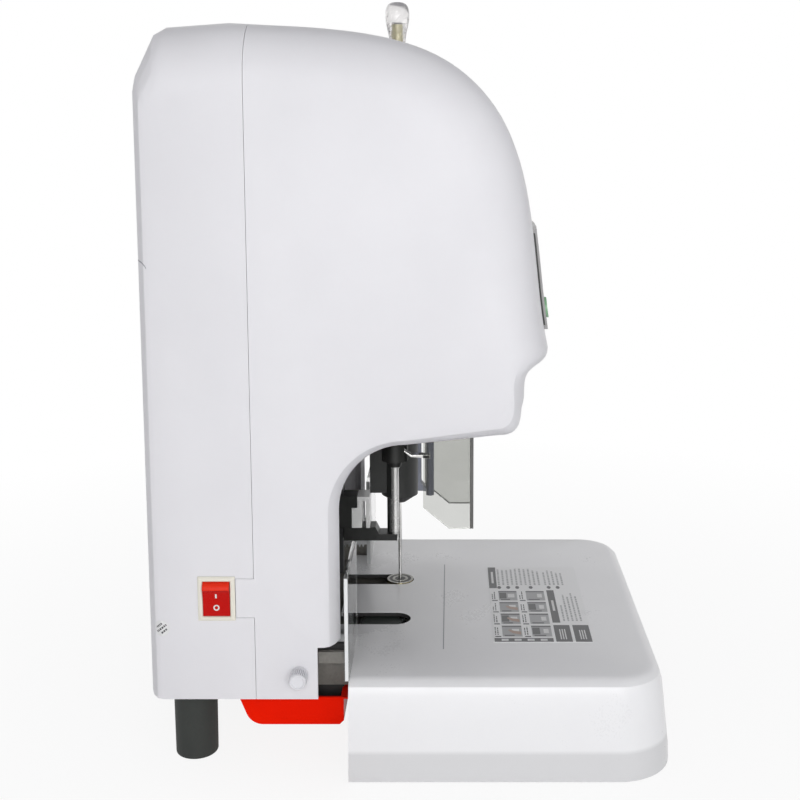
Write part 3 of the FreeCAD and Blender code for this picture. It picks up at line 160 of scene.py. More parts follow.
materials = {
    "body": finish("body_white", (0.80, 0.795, 0.82), (0.775, 0.77, 0.795), 0.42, grain_depth=0.012,
                   Specular_IOR_Level=0.25),
    "table": finish("table_white", (0.88, 0.88, 0.89), (0.86, 0.86, 0.87), 0.3, grain=700.0,
                    grain_depth=0.01, Coat_Weight=0.3, Coat_Roughness=0.22),
    "casting": finish("casting_grey", (0.22, 0.21, 0.19), (0.14, 0.135, 0.12), 0.6, grain=420.0,
                      grain_depth=0.25, patch=40.0),
    "plate": finish("zinc_plate", (0.56, 0.57, 0.58), (0.44, 0.45, 0.47), 0.36, metallic=1.0, patch=30.0,
                    grain_stretch=(1, 1, 0.04), grain_depth=0.01),
    "black_metal": finish("black_oxide", (0.012, 0.013, 0.012), (0.03, 0.03, 0.029), 0.42, metallic=0.3,
                          patch=60.0, grain_depth=0.02),
    "steel": finish("bright_steel", (0.78, 0.775, 0.76), (0.62, 0.615, 0.605), 0.16, metallic=1.0,
                    patch=90.0, grain_stretch=(1, 1, 0.05), grain_depth=0.008),
    "rubber": finish("foot_rubber", (0.018, 0.021, 0.019), (0.032, 0.036, 0.032), 0.72, grain=500.0,
                     grain_depth=0.06, patch=35.0),
    "motor": finish("motor_enamel", (0.05, 0.05, 0.055), (0.08, 0.08, 0.085), 0.45, grain_depth=0.04),
    "alloy": finish("machined_alloy", (0.68, 0.69, 0.69), (0.54, 0.55, 0.56), 0.3, metallic=1.0,
                    patch=50.0, grain_stretch=(0.05, 1, 1), grain_depth=0.012),
    "belt": finish("belt_rubber", (0.016, 0.016, 0.016), (0.03, 0.03, 0.03), 0.75, grain_depth=0.05),
    "black_plastic": finish("black_plastic", (0.018, 0.02, 0.019), (0.032, 0.034, 0.032), 0.48,
                            grain=900.0, grain_depth=0.03, patch=30.0),
    "pad": finish("pad_nylon", (0.012, 0.018, 0.015), (0.03, 0.04, 0.035), 0.5, grain_depth=0.04),
    "brass": finish("turned_brass", (0.74, 0.68, 0.46), (0.60, 0.53, 0.33), 0.24, metallic=1.0,
                    patch=110.0, grain_depth=0.01),
    "clear": clear("clear_acrylic", (0.96, 0.965, 0.965), 0.02, 1.49, 0.06),
    "crystal": clear("crystal_knob", (0.76, 0.745, 0.745), 0.05, 1.49, 0.1, facet=0.9),
    "pale_brass": finish("pale_brass", (0.95, 0.92, 0.62), (0.88, 0.84, 0.52), 0.25, metallic=0.2,
                         patch=110.0, grain_depth=0.01),
    "smoke": clear("smoke_acrylic", (0.66, 0.665, 0.645), 0.02, 1.49, 0.05),
    "smoke_edge": finish("smoke_edge", (0.10, 0.10, 0.095), (0.15, 0.15, 0.145), 0.25, grain_depth=0.004),
    "frost_edge": finish("frost_edge", (0.86, 0.87, 0.87), (0.80, 0.81, 0.81), 0.35, grain_depth=0.01),
    # Darker copy of the frosted edge: painted shade on the inner sawn ends.
    "frost_painted_shade": finish("frost_painted_shade", (0.42, 0.43, 0.43), (0.36, 0.37, 0.37), 0.35, grain_depth=0.01),
    "frame_dark": finish("frame_lacquer", (0.02, 0.021, 0.023), (0.032, 0.033, 0.035), 0.5, patch=30.0,
                         grain_depth=0.02),
    "bright_block": finish("bright_block", (0.95, 0.95, 0.94), (0.88, 0.88, 0.87), 0.3, metallic=0.1,
                           patch=60.0, grain_stretch=(1, 0.05, 1), grain_depth=0.01),
    "lamp_blue": finish("lamp_anodised", (0.05, 0.06, 0.10), (0.08, 0.09, 0.14), 0.3, metallic=0.6,
                        patch=60.0),
    "knob": finish("knob_white", (0.78, 0.78, 0.81), (0.72, 0.72, 0.75), 0.36, grain_depth=0.015),
    "tray": finish("tray_red", (0.90, 0.012, 0.0008), (0.80, 0.009, 0.0006), 0.3, grain=800.0,
                   grain_depth=0.015, patch=25.0, Specular_IOR_Level=0.03),
    "board": finish("solder_mask", (0.015, 0.13, 0.05), (0.01, 0.09, 0.035), 0.4, patch=160.0),
    "ivory": finish("bezel_ivory", (0.83, 0.80, 0.70), (0.79, 0.76, 0.66), 0.25, grain_depth=0.004),
    "rocker": finish("rocker_red", (0.56, 0.004, 0.002), (0.48, 0.003, 0.0015), 0.3, grain_depth=0.002,
                     Specular_IOR_Level=0.12),
    # A lighter copy of the rocker red: painted highlight on the rocker's shoulder.
    "rocker_painted_highlight": finish("rocker_shoulder", (0.84, 0.035, 0.01), (0.74, 0.02, 0.006), 0.3,
                           grain_depth=0.002, Specular_IOR_Level=0.2),
    "panel": finish("panel_film", (0.33, 0.325, 0.325), (0.29, 0.285, 0.285), 0.3, grain_depth=0.01),
    "window": finish("display_glass", (0.012, 0.018, 0.015), (0.018, 0.025, 0.02), 0.08, grain_depth=0.001,
                     Coat_Weight=1.0),
    "key_green": finish("key_green", (0.30, 0.56, 0.33), (0.25, 0.50, 0.28), 0.25, grain_depth=0.004),
    "key_red": finish("key_red", (0.58, 0.025, 0.02), (0.5, 0.018, 0.014), 0.25, grain_depth=0.004),
    "label": finish("label_sheet", (0.88, 0.88, 0.885), (0.86, 0.86, 0.865), 0.3, grain_depth=0.004,
                    Coat_Weight=0.3, Coat_Roughness=0.22),
    "ink_skin": finish("ink_skin", (0.50, 0.37, 0.31), (0.44, 0.31, 0.25), 0.4, grain_depth=0.002),
    "ink_white": finish("ink_white", (0.80, 0.80, 0.80), (0.74, 0.74, 0.74), 0.35, grain_depth=0.002),
    # A grey for painted shade in grooves and a sink mark, and for a painted reflection line on the table.
    "groove": finish("painted_shade_grey", (0.36, 0.36, 0.39), (0.44, 0.44, 0.47), 0.6, grain_depth=0.01),
    "figures": finish("lit_figures", (0.75, 0.06, 0.02), (0.62, 0.04, 0.015), 0.3, grain_depth=0.002,
                      Emission_Color=(1.0, 0.08, 0.02, 1), Emission_Strength=0.8),
    "die_steel": finish("die_steel", (0.34, 0.335, 0.31), (0.24, 0.235, 0.215), 0.3, metallic=0.7,
                        patch=120.0, grain_depth=0.01),
    "tube": finish("ground_tube", (0.90, 0.895, 0.88), (0.80, 0.795, 0.78), 0.24, metallic=0.7,
                   patch=80.0, grain_stretch=(1, 1, 0.05), grain_depth=0.006),
    "steel_blue": finish("tinted_steel", (0.16, 0.17, 0.21), (0.22, 0.23, 0.28), 0.35, metallic=0.4,
                         patch=60.0, grain_depth=0.01),
}
for ink, color, other in (
        ("ink_dark", (0.055, 0.055, 0.06), (0.09, 0.09, 0.095)),
        ("ink_bar", (0.125, 0.125, 0.13), (0.165, 0.165, 0.17)),
        ("ink_light", (0.40, 0.40, 0.41), (0.50, 0.50, 0.51))):
    materials[ink] = finish(ink, color, other, 0.4, grain_depth=0.002)


def paint_shade_below(material, height, soft, share):
    """Painted shade: darkens the base colour below a height, standing in for the lesser light where a skirt
    turns in at its foot.
    """
    net = material.node_tree
    base = net.nodes["Principled BSDF"].inputs["Base Color"]
    parts = add(net, "ShaderNodeSeparateXYZ")
    net.links.new(place(net), parts.inputs[0])
    tone = spread(net, parts.outputs["Z"], share, 1, height - soft, height + soft)
    scaled = add(net, "ShaderNodeVectorMath", operation="SCALE")
    net.links.new(base.links[0].from_socket, scaled.inputs[0])
    net.links.new(tone, scaled.inputs["Scale"])
    net.links.new(scaled.outputs[0], base)


# Painted shade on the table skirt: below this height the base colour is darker.
skirt_foot_z = 21.5 * MM
skirt_foot_soft = 1.5 * MM
paint_shade_below(materials["table"], skirt_foot_z, skirt_foot_soft, 0.8)

slot_materials = {
    "body_white": "body", "table_white": "table", "casting": "casting", "steel_plate": "plate",
    "black_metal": "black_metal", "bright_steel": "steel", "label": "label", "foot_rubber": "rubber",
    "motor_can": "motor", "machined_alloy": "alloy", "belt_rubber": "belt",
    "black_plastic": "black_plastic", "pad_plastic": "pad", "die_brass": "brass",
    "clear_plastic": "clear", "knob_white": "knob", "tray_red": "tray", "board_green": "board",
    "bezel_ivory": "ivory", "rocker_red": "rocker", "panel_grey": "panel", "window_dark": "window",
    "key_green": "key_green", "key_red": "key_red",
}
node_materials = {
    "drill_guard": "smoke", "locating_lamp": "lamp_blue", "side_plates": "frame_dark",
    "throat_plate": "frame_dark", "lower_head_plate": "frame_dark", "back_plate": "frame_dark",
    "arm_rail": "frame_dark",
    "arm_block": "bright_block", "rod_knob": "crystal", "cleaning_rod": "pale_brass",
}
for row in frame["record"]["subparts"]:
    piece = nodes[row["node"]]
    chosen = node_materials.get(row["node"], slot_materials[row["material_slot"]])
    piece.data.materials.clear()
    piece.data.materials.append(materials[chosen])


# Mesh helpers

def smooth_by_angle(piece, degrees):
    """Joins the facets of a curved CAD surface in the shading; edges sharper than the angle stay sharp."""
    net = bpy.data.node_groups.new("smooth_" + piece.name, "GeometryNodeTree")
    net.interface.new_socket("Geometry", in_out="INPUT", socket_type="NodeSocketGeometry")
    net.interface.new_socket("Geometry", in_out="OUTPUT", socket_type="NodeSocketGeometry")
    start = add(net, "NodeGroupInput")
    stop = add(net, "NodeGroupOutput")
    merge = add(net, "GeometryNodeMergeByDistance")
    merge.inputs["Distance"].default_value = 0.002 * MM
    angle = add(net, "GeometryNodeInputMeshEdgeAngle")
    sharp = add(net, "FunctionNodeCompare", data_type="FLOAT", operation="GREATER_THAN")
    sharp.inputs[1].default_value = math.radians(degrees)
    normal = add(net, "GeometryNodeSetMeshNormal", mode="SHARPNESS")
    normal.inputs["Remove Custom"].default_value = True
    normal.inputs["Face Sharpness"].default_value = False
    net.links.new(start.outputs[0], merge.inputs["Geometry"])
    net.links.new(merge.outputs[0], normal.inputs["Mesh"])
    net.links.new(angle.outputs["Unsigned Angle"], sharp.inputs[0])
    net.links.new(sharp.outputs[0], normal.inputs["Edge Sharpness"])
    net.links.new(normal.outputs[0], stop.inputs[0])
    piece.modifiers.new("smooth", "NODES").node_group = net


for name in ("front_cover", "rear_cover", "table_cover", "chip_tray", "feet", "rod_knob", "rivet_head",
             "display_panel", "display_window"):
    smooth_by_angle(nodes[name], 28)


def build(name, points, faces, material, body):
    """A mesh piece from points in metres, riding on a body."""
    mesh = bpy.data.meshes.new(name)
    mesh.from_pydata([tuple(p) for p in points], [], faces)
    mesh.materials.append(material)
    for face in mesh.polygons:
        face.use_smooth = False
    made = bpy.data.objects.new(name, mesh)
    bpy.context.scene.collection.objects.link(made)
    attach(made, body)
    return made


def soften(made, width, segments=3):
    """Rounded edges on a piece."""
    bevel = made.modifiers.new("bevel", "BEVEL")
    bevel.width = width
    bevel.segments = segments
    bevel.limit_method = "ANGLE"
    bevel.angle_limit = math.radians(40)
    bevel.harden_normals = True
    for face in made.data.polygons:
        face.use_smooth = True
    return made


def ring_faces(count, levels, closed=False):
    """Faces between rings of points; closed also joins the last ring to the first."""
    faces = []
    for level in range(levels if closed else levels - 1):
        first = level * count
        other = (level + 1) % levels * count
        for i in range(count):
            j = (i + 1) % count
            faces.append((first + i, first + j, other + j, other + i))
    return faces


def caps(count, levels):
    """The two end faces of a stack of rings."""
    return [tuple(reversed(range(count))), tuple(range((levels - 1) * count, levels * count))]


def extrude(outline, axis, start, stop):
    """Points and faces of an outline pushed along an axis; the outline's pairs are the other two axes."""
    def at(pair, along):
        values = list(pair)
        values.insert(axis, along)
        return tuple(values)
    count = len(outline)
    points = [at(pair, along) for along in (start, stop) for pair in outline]
    return points, ring_faces(count, 2) + caps(count, 2)


def extruded(name, outline, axis, start, stop, material, body, edge):
    """A piece with rounded edges, from an outline pushed along an axis."""
    points, faces = extrude(outline, axis, start, stop)
    return soften(build(name, points, faces, materials[material], body), edge, 2)


def lathe(profile, centre, axis, count=48, groove=None, closed=False):
    """A profile of (radius, along) pairs turned about an axis; groove(ring, i) is taken off the radius."""
    others = [i for i in range(3) if i != axis]
    points = []
    for ring, (radius, along) in enumerate(profile):
        for i in range(count):
            angle = 2 * math.pi * i / count
            reach = radius - groove(ring, i) if groove else radius
            point = list(centre)
            point[axis] += along
            point[others[0]] += reach * math.cos(angle)
            point[others[1]] += reach * math.sin(angle)
            points.append(tuple(point))
    faces = ring_faces(count, len(profile), closed)
    return points, faces if closed else faces + caps(count, len(profile))


def arc_points(centre, radius, start_deg, stop_deg, count):
    steps = [math.radians(start_deg + (stop_deg - start_deg) * i / count) for i in range(count + 1)]
    return [(centre[0] + radius * math.cos(a), centre[1] + radius * math.sin(a)) for a in steps]


def ring_plate(centre, outer, inner, count=40):
    """Flat ring as quads, in two axes."""
    points = []
    for radius in (outer, inner):
        points += arc_points(centre, radius, 0, 360, count)[:-1]
    return points, ring_faces(count, 2)


def side_quad(x, y0, y1, z0, z1):
    """A flat quad that faces sideways."""
    return [(x, y0, z0), (x, y1, z0), (x, y1, z1), (x, y0, z1)], [(0, 1, 2, 3)]


def joined(parts):
    """One set of points and faces from several."""
    points, faces = [], []
    for more_points, more_faces in parts:
        first = len(points)
        points += more_points
        faces += [tuple(first + i for i in face) for face in more_faces]
    return points, faces


def middle_of(name):
    low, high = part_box(name)
    return (low + high) / 2


def strip(points_a, points_b):
    """Faces between two rows of points."""
    count = len(points_a)
    points = list(points_a) + list(points_b)
    return points, [(i, i + 1, count + i + 1, count + i) for i in range(count - 1)]


# Printed sheet on the table: shares of its width from the left, and of its length from the rear

def sheet_point(u, v, rise):
    low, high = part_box("table_label")
    return (low.x + (high.x - low.x) * u, high.y - (high.y - low.y) * v, high.z + rise)


def print_polygons(name, shapes, rise, ink):
    parts = [([sheet_point(u, v, rise) for u, v in shape], [tuple(range(len(shape)))]) for shape in shapes]
    points, faces = joined(parts)
    return build(name, points, faces, materials[ink], "root")


def print_quads(name, rows, rise, ink):
    quads = [((u0, v1), (u1, v1), (u1, v0), (u0, v0)) for u0, u1, v0, v1 in rows]
    return print_polygons(name, quads, rise, ink)


def text_rows(u0, u1, v0, v1, count, ragged):
    """Rows of short bars, like lines of small print."""
    shortest, range_of_lengths, word_gap = 0.012, 0.02, 0.006
    thickness_share = 0.42
    rows = []
    pitch = (v1 - v0) / count
    for i in range(count):
        u = u0
        end = u1 - (u1 - u0) * ragged * random.random()
        while u < end:
            step = shortest + range_of_lengths * random.random()
            rows.append((u, min(u + step, end), v0 + pitch * i, v0 + pitch * (i + thickness_share)))
            u += step + word_gap
    return rows


def tile_parts(u0, v0, wide, long, row, column):
    """A small picture: ground, shadow bands, a pale page and, in some, a hand."""
    ground = (u0, u0 + wide, v0, v0 + long)
    bands = [(u0 + 0.86 * wide, u0 + 0.96 * wide, v0, v0 + long)]
    bands.append((u0 + 0.04 * wide, u0 + 0.14 * wide, v0 + 0.1 * long, v0 + (0.6 + 0.1 * row) * long))
    if (row + column) % 2:
        bands.append((u0 + 0.2 * wide, u0 + 0.8 * wide, v0 + 0.04 * long, v0 + 0.42 * long))
    page = (u0 + 0.3 * wide, u0 + 0.68 * wide, v0 + (0.5 + 0.1 * row) * long, v0 + 0.86 * long)
    hand = [(u0 + 0.16 * wide, v0 + 0.95 * long), (u0 + 0.3 * wide, v0 + 0.52 * long),
            (u0 + 0.55 * wide, v0 + 0.3 * long), (u0 + 0.62 * wide, v0 + 0.38 * long),
            (u0 + 0.5 * wide, v0 + 0.62 * long), (u0 + 0.44 * wide, v0 + 0.95 * long)]
    return ground, bands, page, hand


def label_print():
    lift = 0.03 * MM
    bars = [(0.0, 0.045, 0.01, 0.60), (0.23, 0.66, 0.625, 0.705), (0.69, 1.0, 0.0, 0.085),
            (0.0, 0.20, 0.625, 0.79), (0.0, 0.20, 0.82, 0.985)]
    print_quads("label_bars", bars, lift, "ink_bar")
    grounds, shades, pages, hands, captions, rules = [], [], [], [], [], []
    first_u, first_v, pitch_u, pitch_v = 0.062, 0.02, 0.152, 0.30
    for row in range(2):
        for column in range(4):
            u0 = first_u + pitch_u * column
            v0 = first_v + pitch_v * row
            ground, bands, page, hand = tile_parts(u0, v0 + 0.075, 0.132, 0.20, row, column)
            grounds.append(ground)
            shades += bands
            pages.append(page)
            if row == 0 and column != 3:
                hands.append(hand)
            captions += text_rows(u0 + 0.02, u0 + 0.13, v0, v0 + 0.05, 2, 0.5)
            rules.append((u0 - 0.006, u0 + 0.006, v0, v0 + 0.06))
    print_quads("label_tiles", grounds, lift, "ink_light")
    print_quads("label_tile_shades", shades, 2 * lift, "ink_bar")
    print_quads("label_tile_pages", pages, 3 * lift, "ink_white")
    print_polygons("label_tile_hands", hands, 4 * lift, "ink_skin")
    print_quads("label_rules", rules, lift, "ink_dark")
    small = text_rows(0.735, 0.985, 0.10, 0.60, 10, 0.25) + text_rows(0.735, 0.985, 0.62, 0.86, 5, 0.3)
    small += text_rows(0.25, 0.62, 0.74, 0.96, 5, 0.5)
    print_quads("label_text", small, lift, "ink_light")
    print_quads("label_captions", captions, lift, "ink_dark")
    white = [(0.012, 0.034, 0.08 + 0.13 * i, 0.15 + 0.13 * i) for i in range(4)]
    white += [(0.03, 0.15, 0.675 + 0.025 * i, 0.687 + 0.025 * i) for i in range(3)]
    white += [(0.03, 0.14, 0.875 + 0.025 * i, 0.887 + 0.025 * i) for i in range(3)]
    white += [(0.38, 0.52, 0.655, 0.68), (0.76, 0.93, 0.03, 0.055)]
    print_quads("label_bar_text", white, 2 * lift, "ink_white")
    dots = []
    for v in (0.11, 0.21, 0.31, 0.46, 0.66, 0.76):
        dots.append([(0.70 + 0.02 * a, v + 0.022 * b) for a, b in arc_points((0, 0), 1, 0, 345, 23)])
    print_polygons("label_dots", dots, lift, "ink_bar")


label_print()


# Power switch: rocker with its two marks, and a rounded frame

rocker_half_width = 9.2 * MM
rocker_half_height = 12.2 * MM
rocker_shoulder = 5.3 * MM

# Depth behind the rocker's foremost point, and height from its middle
rocker_front_mm = ((0.5, 6.6), (1.2, 4.6), (2.2, 0.4), (2.7, -4.5), (2.6, -9.8), (2.4, -11.6), (2.8, -12.2))
rocker_rear_mm = ((7.6, -12.2), (11.0, 0), (7.6, 12.2))


def rocker():
    """The rocker's cap, with its shoulder in a lighter red as a painted highlight; gives its front outline
    and its middle.
    """
    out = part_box("power_rocker")[0].x
    middle = middle_of("switch_bezel")
    top = middle.z + rocker_half_height
    shoulder = arc_points((out + rocker_shoulder, top - rocker_shoulder), rocker_shoulder, 90, 180, 9)
    front = [(out + depth * MM, middle.z + height * MM) for depth, height in rocker_front_mm]
    rear = [(out + depth * MM, middle.z + height * MM) for depth, height in rocker_rear_mm]
    points, faces = extrude(shoulder + front + rear, 1, middle.y - rocker_half_width,
                            middle.y + rocker_half_width)
    cap = build("rocker_cap", points, faces, materials["rocker"], "rocker")
    cap.data.materials.append(materials["rocker_painted_highlight"])
    # Faces of the top shoulder take the lighter red: a painted highlight.
    for face in cap.data.polygons:
        if face.center.z > top - rocker_shoulder and face.center.x < out + rocker_shoulder:
            face.material_index = 1
    soften(cap, 0.3 * MM)
    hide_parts("power_rocker")
    return front, middle


def rocker_marks(front, middle):
    """A bar for on and a ring for off, laid on the rocker's front."""
    lift = 0.08 * MM
    half_bar = 0.55 * MM
    bar_foot, bar_step = 0.9 * MM, 0.8 * MM
    ring_drop, ring_outer, ring_inner = 6.1 * MM, 2.1 * MM, 1.2 * MM

    def on_face(y, z):
        for (xa, za), (xb, zb) in zip(front, front[1:]):
            if zb <= z <= za:
                return xa + (xb - xa) * (za - z) / (za - zb) - lift, y, z

    heights = [middle.z + bar_foot + bar_step * i for i in range(5)]
    points, faces = strip(*[[on_face(middle.y + side * half_bar, z) for z in heights] for side in (-1, 1)])
    build("rocker_mark_on", points, faces, materials["ink_white"], "rocker")
    flat, faces = ring_plate((middle.y, middle.z - ring_drop), ring_outer, ring_inner)
    points = [on_face(y, z) for y, z in flat]
    build("rocker_mark_off", points, faces, materials["ink_white"], "rocker")


def switch_frame():
    """Five rings of four corners, from the outer edge over the rim into the opening, and its wall."""
    low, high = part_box("switch_bezel")
    middle = middle_of("switch_bezel")
    gap = 0.25 * MM
    foot_x, rim_x, mouth_x = low.x + 1.9 * MM, low.x + 1.1 * MM, low.x + 0.6 * MM
    wall_x, short_wall_x = low.x + 8.0 * MM, low.x + 1.8 * MM
    lip, bead = 1.6 * MM, 0.5 * MM

    def corners(half_y, half_z):
        signs = ((-1, -1), (1, -1), (1, 1), (-1, 1))
        return [(middle.y + y * half_y, middle.z + z * half_z) for y, z in signs]

    half_y, half_z = (high.y - low.y) / 2, (high.z - low.z) / 2
    open_y, open_z = rocker_half_width + gap, rocker_half_height + gap
    outer, inner = corners(half_y, half_z), corners(open_y, open_z)
    rings = [(outer, foot_x), (outer, rim_x), (corners(half_y - lip, half_z - lip), low.x),
             (corners(open_y + bead, open_z + bead), low.x), (inner, mouth_x)]
    points = [(x, y, z) for ring, x in rings for y, z in ring]
    points += [(wall_x if z < middle.z else short_wall_x, y, z) for y, z in inner]
    made = build("switch_frame", points, ring_faces(4, len(rings) + 1), materials["ivory"], "root")
    soften(made, 0.3 * MM)
    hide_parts("switch_bezel")


rocker_marks(*rocker())
switch_frame()


# Marks that follow a curved surface

def surface_of(name):
    piece = nodes[name]
    points = [piece.matrix_world @ vertex.co for vertex in piece.data.vertices]
    return BVHTree.FromPolygons(points, [tuple(face.vertices) for face in piece.data.polygons])


def laid_on(tree_of_faces, start, direction, lift):
    """The point of a surface straight ahead of a start point, lifted off it towards the start."""
    heading = Vector(direction)
    hit = tree_of_faces.ray_cast(Vector(start), heading)[0]
    return hit - heading * lift


# Front panel: film edge, seven-bar figures in the window, rings and signs by the keys

def front_patch(surface, x0, x1, z0, z1, lift):
    step = 3 * MM
    count = max(2, int(abs(x1 - x0) / step) + 2)
    across = [x0 + (x1 - x0) * i / (count - 1) for i in range(count)]
    rows = []
    for z in (z0, z1):
        rows.append([laid_on(surface, (x, -1, z), (0, 1, 0), lift) for x in across])
    return strip(*rows)


def front_ring(surface, x, z, outer, inner, lift):
    flat, faces = ring_plate((x, z), outer, inner)
    return [laid_on(surface, (a, -1, b), (0, 1, 0), lift) for a, b in flat], faces


figure_bars = {
    "0": "abcdef", "1": "bc", "2": "abged", "3": "abgcd", "4": "fgbc", "5": "afgcd", "6": "afgedc",
    "7": "abc", "8": "abcdefg", "9": "abcdfg",
}


def figure_patches(surface, figure, x, z, width, height, bar, lift):
    half = height / 2
    boxes = {
        "a": (0, width, height - bar, height), "g": (0, width, half - bar / 2, half + bar / 2),
        "d": (0, width, 0, bar), "f": (0, bar, half, height), "e": (0, bar, 0, half),
        "b": (width - bar, width, half, height), "c": (width - bar, width, 0, half),
    }
    patches = []
    for name in figure_bars[figure]:
        u0, u1, v0, v1 = boxes[name]
        patches.append(front_patch(surface, x + u0, x + u1, z + v0, z + v1, lift))
    return patches


def front_panel():
    panel = surface_of("display_panel")
    low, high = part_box("display_panel")
    lift = 0.12 * MM
    edge = 2.5 * MM
    line = 0.7 * MM
    ring_gap, ring_width = 1.1 * MM, 0.8 * MM
    sign_gap, sign_height, sign_half, sign_pitch = 3.2 * MM, 4.0 * MM, 0.6 * MM, 3 * MM
    x0, x1 = low.x + edge, high.x - edge
    z0, z1 = low.z + edge, high.z - edge
    sides = ((x0, x1, z0, z0 + line), (x0, x1, z1 - line, z1),
             (x0, x0 + line, z0, z1), (x1 - line, x1, z0, z1))
    lines = [front_patch(panel, *side, lift) for side in sides]
    for node, signs in (("drill_key", 1), ("rivet_key", 2)):
        key_low, key_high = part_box(node)
        radius = (key_high.z - key_low.z) / 2
        key = middle_of(node)
        inner = radius + ring_gap
        lines.append(front_ring(panel, key.x, key.z, inner + ring_width, inner, lift))
        foot = key.z + radius + sign_gap
        for i in range(signs):
            x = key.x + (i - (signs - 1) / 2) * sign_pitch
            lines.append(front_patch(panel, x - sign_half, x + sign_half, foot, foot + sign_height, lift))
    points, faces = joined(lines)
    build("panel_print", points, faces, materials["ink_white"], "root")
    window = surface_of("display_window")
    window_low, window_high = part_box("display_window")
    tall = window_high.z - window_low.z
    height = tall * 0.52
    base = window_low.z + tall * 0.24
    width = height * 0.52
    bar = height * 0.13
    pitch = width * 1.45
    gap = width * 0.4
    groups = ("08", "150")
    total = sum(len(group) for group in groups) * pitch + gap - (pitch - width)
    x = (window_low.x + window_high.x - total) / 2
    patches = []
    for group in groups:
        for figure in group:
            patches += figure_patches(window, figure, x, base, width, height, bar, lift)
            x += pitch
        x += gap
    points, faces = joined(patches)
    build("window_figures", points, faces, materials["figures"], "root")


def panel_gap_painted_shade():
    """Black strips standing out at the panel's sides: painted shade of the gap between the panel and the
    body, seen from the sides.
    """
    cover = surface_of("front_cover")
    low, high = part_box("display_panel")
    out = 0.3 * MM
    stand = 1.3 * MM
    end_gap = 3 * MM
    bottom, top = low.z + end_gap, high.z - end_gap
    count = 24
    heights = [bottom + (top - bottom) * i / (count - 1) for i in range(count)]
    sides = []
    for x in (low.x - out, high.x + out):
        foot = [laid_on(cover, (x, -1, z), (0, 1, 0), 0.0) for z in heights]
        sides.append(strip(foot, [point - Vector((0, stand, 0)) for point in foot]))
    points, faces = joined(sides)
    build("panel_gap_painted_shade", points, faces, materials["black_plastic"], "root")


panel_gap_painted_shade()
front_panel()


# Rear: rating plate with plain figures, and a round inspection seal on the side

def rating_plate():
    rear = surface_of("rear_cover")
    lift = 0.25 * MM
    width, height = 62 * MM, 34 * MM
    x0, z0 = -width / 2, 176 * MM

    def patch(a0, a1, b0, b1, more):
        rows = []
        for z in (z0 + b0 * height, z0 + b1 * height):
            rows.append([laid_on(rear, (x0 + a * width, 1, z), (0, -1, 0), more) for a in (a1, a0)])
        return strip(*rows)

    points, faces = patch(0, 1, 0, 1, lift)
    build("rating_plate", points, faces, materials["plate"], "root")
    bars = [patch(0.05, 0.95, 0.80, 0.92, 1.5 * lift)]
    for row in range(4):
        low = 0.12 + 0.16 * row
        bars.append(patch(0.06, 0.30, low, low + 0.07, 1.5 * lift))
        bars.append(patch(0.36, 0.52 + 0.34 * random.random(), low, low + 0.07, 1.5 * lift))
    points, faces = joined(bars)
    build("rating_print", points, faces, materials["ink_dark"], "root")


def inspection_seal():
    """A round sheet with three rows of strokes, turned askew."""
    side = surface_of("rear_cover")
    radius = 5.6 * MM
    y, z = 170.5 * MM, 105.5 * MM
    start_x = -0.3
    lift = 0.1 * MM
    count = 36
    shares = (0.0, 0.35, 0.7, 1.0)

    def spot(a, b, more):
        return laid_on(side, (start_x, y + radius * a, z + radius * b), (1, 0, 0), more)

    rings = [arc_points((0, 0), share, 0, 360, count)[:-1] for share in shares]
    points = [spot(a, b, lift) for ring in rings for a, b in ring]
    faces = [(a, d, c, b) for a, b, c, d in ring_faces(count, len(shares))]
    build("seal_sheet", points, faces, materials["ink_white"], "root")
    tilt = math.radians(-40)
    print_share = 0.9
    half_stroke = 0.13
    shortest, range_of_lengths, stroke_gap = 0.12, 0.16, 0.09
    marks = []
    for row, reach in ((-0.52, 0.5), (0.0, 0.85), (0.52, 0.5)):
        along = -reach
        while along < reach:
            stop = min(along + shortest + range_of_lengths * random.random(), reach)
            low, high = row - half_stroke, row + half_stroke
            corners = []
            for a, b in ((along, low), (stop, low), (stop, high), (along, high)):
                u = a * math.cos(tilt) - b * math.sin(tilt)
                v = a * math.sin(tilt) + b * math.cos(tilt)
                corners.append(spot(u * print_share, v * print_share, 2 * lift))
            marks.append((corners, [(0, 1, 2, 3)]))
            along = stop + stroke_gap
    points, faces = joined(marks)
    build("seal_print", points, faces, materials["ink_dark"], "root")


def sink_mark_painted_shade():
    """A short curved grey stroke high on the rear corner of the side: painted shade of a sink mark."""
    side = surface_of("rear_cover")
    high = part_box("rear_cover")[1]
    lift = 0.15 * MM
    half = 0.55 * MM
    centre = (high.y - 4.2 * MM, 351.1 * MM)
    bend = arc_points(centre, 7.6 * MM, 75, 155, 24)
    rows = []
    for shift in (-half, half):
        rows.append([laid_on(side, (-1, y, z + shift), (1, 0, 0), lift) for y, z in bend])
    points, faces = strip(*rows)
    build("sink_mark_painted_shade", points, faces, materials["groove"], "root")


rating_plate()
inspection_seal()
sink_mark_painted_shade()


# Clear guard: the cut edges look dark from the side

def guard_edges():
    low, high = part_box("drill_guard")
    line = 0.7 * MM
    proud = 0.05 * MM
    post = 2.2 * MM
    step_y, step_z = low.y + 18.0 * MM, low.z + 15.9 * MM
    outer = [(high.y, high.z), (high.y, step_z), (step_y, low.z), (low.y, low.z)]
    inner = [(high.y - line, high.z), (high.y - line, step_z + 0.45 * line),
             (step_y - 0.4 * line, low.z + line), (low.y, low.z + line)]
    runs = [side_quad(x, low.y, low.y + post, low.z, high.z) for x in (low.x - proud, high.x + proud)]
    runs.append(strip(*[[(high.x + proud, y, z) for y, z in edge] for edge in (outer, inner)]))
    points, faces = joined(runs)
    build("guard_edges", points, faces, materials["smoke_edge"], "root")


guard_edges()


# Sawn ends of the clear fence plates

